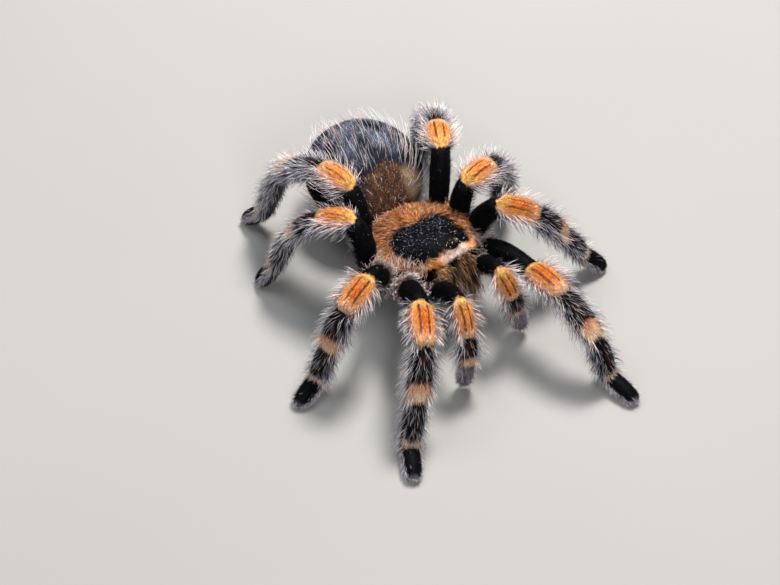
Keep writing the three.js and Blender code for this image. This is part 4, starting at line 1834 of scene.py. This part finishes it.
    def grow(self, cover: "Cover", seed: int) -> Piece:
        """Grows one piece of the coat.

        Args:
            cover: Which parts of the body it covers.
            seed: Where its random numbers start.
        Returns:
            The finished piece.
        """
        rng = np.random.default_rng(1000 + seed)
        members = [i for i, part in enumerate(self.plan.parts) if cover.holds(part)]
        tufts = Tufts()
        for region in cover.regions:
            chosen = [i for i in members if self.plan.parts[i].region == region]
            for hair in self.hairs[region]:
                spots = self.scatter(chosen, hair, rng)
                if len(spots.point):
                    roots = self.roots(spots, members)
                    tufts.add(spots, hair, self.flow(spots), self.colours(spots, hair, rng), roots, rng)
        piece = tufts.mesh(cover.name)
        piece.data.materials.append(CoatFinish.for_slot(cover.slot).material())
        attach(piece, "root")
        log.info("%s: %d faces", cover.name, len(piece.data.polygons))
        return piece

    def scatter(self, members: Sequence[int], hair: Hair, rng: np.random.Generator) -> Places:
        """Spots on the skin for one kind of hair on these parts.

        Args:
            members: The parts' numbers.
            hair: The kind of hair.
            rng: Random numbers.
        Returns:
            The spots.
        """
        skin = self.skin
        own = skin.nearest[skin.triangles[:, 0]]
        triangles = skin.triangles[np.isin(own, members)]
        corners = skin.points[triangles]
        edges = corners[:, 1:] - corners[:, :1]
        area = np.linalg.norm(np.cross(edges[:, 0], edges[:, 1]), axis=1) / 2
        centres = corners.mean(1)
        middle = skin.places(centres, skin.normals[triangles].mean(1), skin.nearest[triangles[:, 0]])
        wanted = area * hair.density * self.thinned * np.clip(hair.where(middle), 0, 1)
        count = np.floor(wanted + rng.random(len(wanted))).astype(int)
        pick = np.repeat(np.arange(len(triangles)), count)
        a, b = rng.random((2, len(pick)))
        over = a + b > 1
        a[over], b[over] = 1 - a[over], 1 - b[over]
        weights = np.stack([1 - a - b, a, b], 1)[:, :, None]
        points = (corners[pick] * weights).sum(1)
        normals = (skin.normals[triangles[pick]] * weights).sum(1)
        normals /= np.linalg.norm(normals, axis=1, keepdims=True)
        spots = skin.places(points, normals, skin.nearest[triangles[pick, 0]])
        share = np.clip(hair.where(spots), 0, 1)
        kept = share > rng.random(len(share)) * np.clip(hair.where(middle)[pick], 0, 1) * 0.999
        return spots.pick(kept)

    def flow(self, places: Places) -> Array:
        """The lie of the coat: along each limb, back over the abdomen and outwards over the carapace.

        Args:
            places: The spots.
        Returns:
            The way that a hair lies at each.
        """
        axes = self.plan.of(places, "axes")
        regions = self.plan.of(places, "region")
        way = axes[:, 1].copy()
        shield = regions == Region.CARAPACE
        if shield.any():
            own = places.local[shield]
            spread = np.stack([own[:, 0], own[:, 1] - 1.5, np.zeros(len(own))], 1)
            ahead = ramp(-own[:, 1], 8.0, 11.5)[:, None]
            spread = spread / (np.linalg.norm(spread, axis=1, keepdims=True) + 1e-6)
            spread = spread * (1 - ahead) + np.array([0.0, -1.0, -0.1]) * ahead
            way[shield] = spread @ axes[shield][0]
        top = (regions == Region.JAW) * ramp(places.along, 0.3, 0.05)
        way += axes[:, 2] * top[:, None] * 1.5
        for axis in range(3):
            way[:, axis] += 0.12 * wander(places.point, 2.2, 40 + axis)
        way -= places.normal * (way * places.normal).sum(1, keepdims=True)
        return way / (np.linalg.norm(way, axis=1, keepdims=True) + 1e-9)

    def colours(self, places: Places, hair: Hair, rng: np.random.Generator) -> Array:
        """Each hair's colour at its root and at its tip.

        Args:
            places: The hairs' roots.
            hair: The kind of hair.
            rng: Random numbers.
        Returns:
            The two colours of each hair.
        """
        base = self.markings.tones(places)
        shade = rng.uniform(*hair.shade, len(base))[:, None]
        own = base
        if hair.tips:
            own = np.array([tint.light for tint in hair.tips])[rng.integers(len(hair.tips), size=len(base))]
        # Each root is darkened by hair.root, a painted shade deep in the coat.
        depths = zip(hair.share, (hair.root, 1.0))
        ends = [(base + (own - base) * share) * shade * depth for share, depth in depths]
        return np.clip(np.stack(ends, 1), 0, 1)

    def roots(self, places: Places, members: Sequence[int]) -> Array:
        """Each hair's patch on the piece's map, at its root's place on an unwrap of the skin.

        Args:
            places: The hairs' roots.
            members: The numbers of the piece's parts.
        Returns:
            The patches' lower corners.
        """
        columns = math.ceil(math.sqrt(len(members)))
        rows = math.ceil(len(members) / columns)
        order = np.zeros(len(self.plan.parts), int)
        order[list(members)] = np.arange(len(members))
        cell = order[places.part]
        u = np.clip(places.along, 0, 1)
        v = places.turn / (2 * math.pi) + 0.5
        margin, border = 0.02, 0.001
        room = 1 - Tufts.patch - 2 * border
        u = (cell % columns + margin + (1 - 2 * margin) * u) / columns * room
        v = (cell // columns + margin + (1 - 2 * margin) * v) / rows * room
        return np.stack([u, v], 1) + border


@dataclass(frozen=True)
class Cover:
    """One piece of the coat: its name, its finish's slot, and the parts of the body that it covers."""

    name: str
    slot: str
    regions: tuple[Region, ...]
    sides: tuple[int, ...] = (-1, 0, 1)
    limbs: tuple[str, ...] = ()

    def holds(self, part: Part) -> bool:
        """True if this piece covers the part."""
        limb = not self.limbs or part.name.startswith(self.limbs)
        return part.region in self.regions and part.side in self.sides and limb


class Tufts:
    """Solid hairs with three sides and a point, gathered into one mesh."""

    patch = 0.003
    sunk = 0.08
    lowest = 0.0

    def __init__(self) -> None:
        """Starts with no hair."""
        self.corners: list[Array] = []
        self.faces: list[Array] = []
        self.maps: list[Array] = []
        self.tones: list[Array] = []
        self.count = 0

    def add(
        self, places: Places, hair: Hair, flow: Array, ends: Array, roots: Array, rng: np.random.Generator
    ) -> None:
        """Adds one hair at each place.

        Args:
            places: The roots.
            hair: The kind of hair.
            flow: The lie of the coat at each root.
            ends: Each hair's colours at its root and tip.
            roots: The corner of each hair's patch on the map.
            rng: Random numbers.
        """
        number, steps = len(places.point), hair.sections
        side = np.cross(places.normal, flow)
        lock = hair.clump * wander(places.point, 0.55, 60)
        drift = rng.normal(0, hair.stray, number) + lock
        sway = hair.curl * (rng.normal(0, 0.7, number) + 0.5)
        length = rng.uniform(*hair.length, number)[:, None]
        bend = rng.uniform(0.75, 1.3, number) * (1 + 0.5 * hair.clump * wander(places.point, 0.6, 61))
        lift = np.radians(np.linspace(*hair.lift, steps + 1)[None, :] * bend[:, None])
        spine = [places.point - places.normal * self.sunk]
        way = flow * np.cos(drift)[:, None] + side * np.sin(drift)[:, None]
        for k in range(steps):
            raised = (lift[:, k] if steps == 1 else (lift[:, k] + lift[:, k + 1]) / 2)[:, None]
            aside = (drift + sway * ((k + 0.5) / steps - 0.5) * 2)[:, None]
            ahead = flow * np.cos(aside) + side * np.sin(aside)
            step = (ahead * np.cos(raised) + places.normal * np.sin(raised)) * length / steps
            spine.append(spine[-1] + step)
        across = np.cross(way, places.normal)
        corners = np.empty((number, 3 * steps + 1, 3))
        for k in range(steps):
            thick = hair.width / 2 * (1 - k / steps) ** 0.6
            for j in range(3):
                angle = 2 * math.pi * j / 3 + math.pi / 2
                offset = across * math.cos(angle) + places.normal * math.sin(angle)
                corners[:, 3 * k + j] = spine[k] + offset * thick
        corners[:, -1] = spine[-1]
        corners[:, :, 2] = np.maximum(corners[:, :, 2], self.lowest)
        faces, maps = self.pattern(steps)
        starts = self.count + np.arange(number)[:, None, None] * corners.shape[1]
        self.faces.append((faces[None] + starts).reshape(-1, 3))
        self.maps.append((roots[:, None, None] + maps[None] * self.patch).reshape(-1, 2))
        blend = np.append(np.repeat(np.arange(steps) / steps, 3), 1.0)[None, :, None]
        tones = ends[:, :1] * (1 - blend) + ends[:, 1:] * blend
        self.tones.append(tones.reshape(-1, 3))
        self.corners.append(corners.reshape(-1, 3))
        self.count += number * corners.shape[1]

    @staticmethod
    def pattern(steps: int) -> tuple[Array, Array]:
        """One hair's triangles and their corners on its patch.

        Args:
            steps: How many sections the hair has.
        Returns:
            The triangles' corners, and their places on the patch.
        """
        faces, maps = [[0, 1, 2]], [[(0, 0.3), (0.2, 0.5), (0, 0.7)]]
        for k in range(steps):
            low, high = k / steps, (k + 1) / steps
            for j in range(3):
                a, b = 3 * k + j, 3 * k + (j + 1) % 3
                v, w = j / 3, (j + 1) / 3
                if k == steps - 1:
                    faces.append([b, a, 3 * steps])
                    maps.append([(low, w), (low, v), (high, (v + w) / 2)])
                    continue
                faces += [[b, a, a + 3], [b, a + 3, b + 3]]
                maps += [[(low, w), (low, v), (high, v)], [(low, w), (high, v), (high, w)]]
        return np.array(faces), np.array(maps)

    def mesh(self, name: str) -> Piece:
        """The hairs as one object, in metres.

        Args:
            name: The object's name.
        Returns:
            The object.
        """
        corners = np.concatenate(self.corners).astype(np.float32) * MM
        faces = np.concatenate(self.faces).astype(np.int32)
        mesh = bpy.data.meshes.new(name)
        mesh.vertices.add(len(corners))
        mesh.vertices.foreach_set("co", corners.ravel())
        mesh.loops.add(len(faces) * 3)
        mesh.loops.foreach_set("vertex_index", faces.ravel())
        mesh.polygons.add(len(faces))
        mesh.polygons.foreach_set("loop_start", np.arange(0, len(faces) * 3, 3, dtype=np.int32))
        mesh.polygons.foreach_set("use_smooth", np.ones(len(faces), bool))
        layer = mesh.uv_layers.new(name="OFBake")
        layer.data.foreach_set("uv", np.concatenate(self.maps).astype(np.float32).ravel())
        tones = np.ones((len(corners), 4), np.float32)
        tones[:, :3] = np.concatenate(self.tones)
        colours = mesh.color_attributes.new("tone", "FLOAT_COLOR", "POINT")
        colours.data.foreach_set("color", tones.ravel())
        mesh.update()
        mesh.validate()
        piece = bpy.data.objects.new(name, mesh)
        bpy.context.scene.collection.objects.link(piece)
        return piece


@dataclass(frozen=True)
class CoatFinish:
    """How one kind of fur takes the light."""

    name: str
    roughness: Pair
    specular: float
    patchy: Pair = (0.8, 1.2)

    @staticmethod
    def for_slot(slot: str) -> "CoatFinish":
        """The finish of a slot.

        Args:
            slot: The slot's name.
        Returns:
            The finish.
        """
        finishes = {
            "body_coat": CoatFinish("body fur", (0.5, 0.65), 0.03),
            "femur_velvet": CoatFinish("black velvet", (0.5, 0.7), 0.05, (0.75, 1.25)),
            "knee_coat": CoatFinish("knee fur", (0.45, 0.6), 0.15, (0.85, 1.12)),
            "limb_coat": CoatFinish("leg fur", (0.42, 0.6), 0.12),
            "jaw_coat": CoatFinish("jaw fur", (0.4, 0.55), 0.2),
        }
        return finishes[slot]

    def material(self) -> bpy.types.Material:
        """The node material, made once for each finish.

        Returns:
            The material.
        """
        known = bpy.data.materials.get(self.name)
        if known:
            return known
        tree = Nodes(self.name)
        tone = tree.add("ShaderNodeAttribute", attribute_name="tone")
        place = tree.add("ShaderNodeTexCoord")
        drift = tree.noise(place.outputs["Object"], 1 / (1.3 * MM), 3)
        colour = tree.multiply(tone.outputs["Color"], tree.ramp(drift.outputs["Fac"], *self.patchy))
        tree.link(colour, tree.shader.inputs["Base Color"])
        tree.link(tree.ramp(drift.outputs["Fac"], *self.roughness), tree.shader.inputs["Roughness"])
        tree.shader.inputs["Specular IOR Level"].default_value = self.specular
        return tree.material


# ---- Eyes, fangs and claws ----
@dataclass(frozen=True)
class Horn:
    """Polished dark horn or lens, with faint growth lines in its gloss."""

    name: str
    colour: Tint
    roughness: Pair
    coat: float

    def material(self) -> bpy.types.Material:
        """The node material.

        Returns:
            The material.
        """
        tree = Nodes(self.name)
        place = tree.add("ShaderNodeTexCoord")
        lines = tree.noise(place.outputs["Object"], 1 / (0.4 * MM), 3)
        base = tree.add("ShaderNodeRGB")
        base.outputs[0].default_value = (*self.colour.light, 1)
        colour = tree.multiply(base.outputs[0], tree.ramp(lines.outputs["Fac"], 0.6, 1.5))
        tree.link(colour, tree.shader.inputs["Base Color"])
        tree.link(tree.ramp(lines.outputs["Fac"], *self.roughness), tree.shader.inputs["Roughness"])
        tree.shader.inputs["Coat Weight"].default_value = self.coat
        tree.shader.inputs["Coat Roughness"].default_value = 0.06
        return tree.material


@dataclass(frozen=True)
class Eye:
    """One eye on the mound: its place and its radius."""

    x: float
    y: float
    z: float
    size: float


@dataclass
class Head:
    """The eight eyes and the two fangs."""

    plan: BodyPlan
    eyes: tuple[Eye, ...] = (
        Eye(0.55, -0.45, 0.86, 0.42),
        Eye(1.3, -0.75, 0.32, 0.38),
        Eye(0.95, 0.5, 0.6, 0.3),
        Eye(1.5, 0.25, 0.35, 0.36),
    )
    fang_length: float = 6.2
    fang_radius: float = 0.85
    fang_curl: float = 95.0

    def build(self) -> None:
        """Makes the eyes and the fangs."""
        self.build_eyes()
        self.build_fangs()

    def build_eyes(self) -> None:
        """Eight domed lenses, each half sunk in the mound."""
        mound = next(part for part in self.plan.parts if part.region == Region.MOUND)
        lenses = []
        for eye in self.eyes:
            for side, _ in SIDES:
                rings = [Ring(-0.7 * eye.size, 0.5 * eye.size, 0.5 * eye.size)]
                for turn in (-35, -10, 15, 35, 55, 72, 85):
                    angle = math.radians(turn)
                    wide = eye.size * math.cos(angle)
                    rings.append(Ring(eye.size * 0.95 * math.sin(angle), wide, wide))
                lens = Bench.loft("lens", rings, 20)
                outward = np.array([side * eye.x * 0.5, eye.y * 1.2, eye.z * 0.8])
                outward /= np.linalg.norm(outward)
                centre = np.array([side * eye.x, eye.y, eye.z])
                Bench.place(lens, mound.placed @ pointed(outward, centre))
                lenses.append(lens)
        eyes = Bench.join(lenses, "eyes")
        finish(eyes, Horn("eye lens", Tint.JET, (0.05, 0.12), 1.0))

    def build_fangs(self) -> None:
        """Each fang: a horn that curls back under its jaw."""
        size = self.plan.sizes
        for side, word in SIDES:
            jaw = next(part for part in self.plan.parts if part.name == f"jaw_{word}")
            rings = [Ring(self.fang_length * t, 1.0, 1.0) for t in np.linspace(0, 0.97, 14)]
            fang = Bench.loft(f"fang_{word}_horn", rings, 16)
            self.curl(fang)
            place = moved(0, size.jaw_length - 1.9, -size.jaw_height / 2 - 0.1) @ turned(x=-80)
            Bench.place(fang, jaw.placed @ place)
            finish(fang, Horn("fang horn", Tint.JET, (0.16, 0.3), 0.6))
            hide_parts(f"fang_{word}")

    def curl(self, fang: Piece) -> None:
        """Tapers a straight fang to its point and bends it along an arc.

        Args:
            fang: The fang in its own axes.
        """
        curl = math.radians(self.fang_curl)
        radius = self.fang_length / curl
        mesh = fang.data
        co = Bench.corners(mesh) / MM
        t = np.clip(co[:, 1] / self.fang_length, 0, 1)
        girth = self.fang_radius * (1 - t) ** 0.6
        turn = t * curl
        outer = radius + co[:, 2] * girth
        bent = np.stack([co[:, 0] * girth, outer * np.sin(turn), outer * np.cos(turn) - radius], 1)
        mesh.vertices.foreach_set("co", (bent * MM).astype(np.float32).ravel())
        mesh.update()


@dataclass
class Claws:
    """The twin claws at the end of each foot."""

    plan: BodyPlan
    length: float = 1.5
    radius: float = 0.16

    def build(self) -> None:
        """Models one claw and copies it to each side of every foot's tip."""
        rings = []
        for t in np.linspace(0, 0.96, 8):
            girth = self.radius * (1 - t) ** 0.5
            rings.append(Ring(self.length * t, girth * 0.7, girth, -0.35 * self.length * t * t))
        pattern = Bench.loft("claw", rings, 8)
        claws = []
        for part in self.plan.parts:
            if part.region != Region.TARSUS:
                continue
            for side in (-1, 1):
                claw = bpy.data.objects.new("claw", pattern.data.copy())
                bpy.context.scene.collection.objects.link(claw)
                place = moved(side * 0.32, part.rings[-1].at - 1.0, 0.15) @ turned(z=-8 * side)
                Bench.place(claw, part.placed @ place)
                lowest = min(corner.co.z for corner in claw.data.vertices)
                if lowest < 0:
                    bpy.ops.transform.translate(value=(0, 0, -lowest))
                    bpy.ops.object.transform_apply(location=True)
                claws.append(claw)
        bpy.data.objects.remove(pattern)
        joined = Bench.join(claws, "claws")
        finish(joined, Horn("claw horn", Tint.JET, (0.2, 0.4), 0.4))


def finish(piece: Piece, horn: Horn) -> None:
    """Smooths a piece, gives it its material and slot, and lets it ride on the body.

    Args:
        piece: The piece.
        horn: Its finish.
    """
    for polygon in piece.data.polygons:
        polygon.use_smooth = True
    piece.data.materials.clear()
    piece.data.materials.append(horn.material())
    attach(piece, "root")
    log.info("%s: %d faces", piece.name, len(piece.data.polygons))


# ---- The studio ----
@dataclass(frozen=True)
class Studio:
    """A pale floor, soft lights and the camera."""

    look_at: tuple[float, float, float] = (-9.31, 0.19, 10.0)
    heading: float = 36.0
    elevation: float = 50.0
    distance: float = 356.0
    field_of_view: float = 26.0
    floor_size: float = 6000.0

    def build(self) -> None:
        """Sets up the floor, the lights and the camera."""
        self.lay_floor()
        self.hang_lights()
        self.aim_camera()

    def lay_floor(self) -> None:
        """A plain, pale, slightly uneven floor."""
        Bench.clear()
        bpy.ops.mesh.primitive_plane_add(size=self.floor_size * MM, location=(0, 0, 0))
        floor = bpy.context.object
        floor.name = "floor"
        tree = Nodes("floor")
        place = tree.add("ShaderNodeTexCoord")
        cloud = tree.noise(place.outputs["Object"], 6.0, 3)
        base = tree.add("ShaderNodeRGB")
        base.outputs[0].default_value = (0.25, 0.25, 0.247, 1)
        tree.link(
            tree.multiply(base.outputs[0], tree.ramp(cloud.outputs["Fac"], 0.97, 1.03)),
            tree.shader.inputs["Base Color"],
        )
        tree.shader.inputs["Roughness"].default_value = 0.85
        floor.data.materials.append(tree.material)

    def hang_lights(self) -> None:
        """A key from behind the spider's left, a wide overhead fill and a front fill."""
        world = bpy.data.worlds.new("studio")
        world.use_nodes = True
        background = world.node_tree.nodes["Background"]
        background.inputs["Color"].default_value = (0.9, 0.94, 1.0, 1)
        background.inputs["Strength"].default_value = 0.12
        bpy.context.scene.world = world
        self.light("key", (0.25, 0.15, 0.6), 0.16, 9.4, (1.0, 0.95, 0.89))
        self.light("overhead", (-0.15, 0.3, 0.7), 0.4, 3.2, (0.94, 0.97, 1.0))
        self.light("front", (-0.3, -0.6, 0.45), 0.3, 4.2, (1.0, 0.97, 0.95))

    @staticmethod
    def light(
        name: str, place: tuple[float, ...], size: float, power: float, colour: tuple[float, ...]
    ) -> None:
        """An area light that faces the spider.

        Args:
            name: The light's name.
            place: Where it hangs, in metres.
            size: How wide it is, in metres.
            power: Its power in watts.
            colour: Its colour.
        """
        lamp = bpy.data.lights.new(name, "AREA")
        lamp.size = size
        lamp.energy = power
        lamp.color = colour
        hung = bpy.data.objects.new(name, lamp)
        hung.location = place
        hung.rotation_euler = (-Vector(place)).to_track_quat("-Z", "Y").to_euler()
        bpy.context.scene.collection.objects.link(hung)

    def aim_camera(self) -> None:
        """The camera, ahead of the spider and above it."""
        heading, tilt = math.radians(self.heading), math.radians(self.elevation)
        level = math.cos(tilt)
        ahead = Vector((math.sin(heading) * level, math.cos(heading) * level, -math.sin(tilt)))
        data = bpy.data.cameras.new("camera")
        data.sensor_fit = "HORIZONTAL"
        data.angle = math.radians(self.field_of_view)
        data.clip_start = 0.01
        camera = bpy.data.objects.new("camera", data)
        camera.location = (Vector(self.look_at) - ahead * self.distance) * MM
        camera.rotation_euler = ahead.to_track_quat("-Z", "Y").to_euler()
        bpy.context.scene.collection.objects.link(camera)
        bpy.context.scene.camera = camera
        bpy.context.scene.view_settings.view_transform = "Standard"


FLESH = ("carapace", "sternum", "eye_mound", "chelicera", "abdomen", "spinneret", "leg", "palp")


def main() -> None:
    """Builds the whole spider and its studio."""
    logging.basicConfig(level=logging.INFO, format="%(message)s")
    Studio().build()
    plan = BodyPlan()
    markings = Markings(plan)
    skin = Skin(plan, markings)
    hide = skin.build()
    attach(hide, "root")
    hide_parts(*[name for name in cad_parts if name.startswith(FLESH)])
    log.info("skin: %d faces over %d parts", len(hide.data.polygons), len(plan.parts))
    Head(plan).build()
    Claws(plan).build()
    Coat(plan, skin, markings, thinned=1.0).build()


if __name__ == "__main__":
    main()
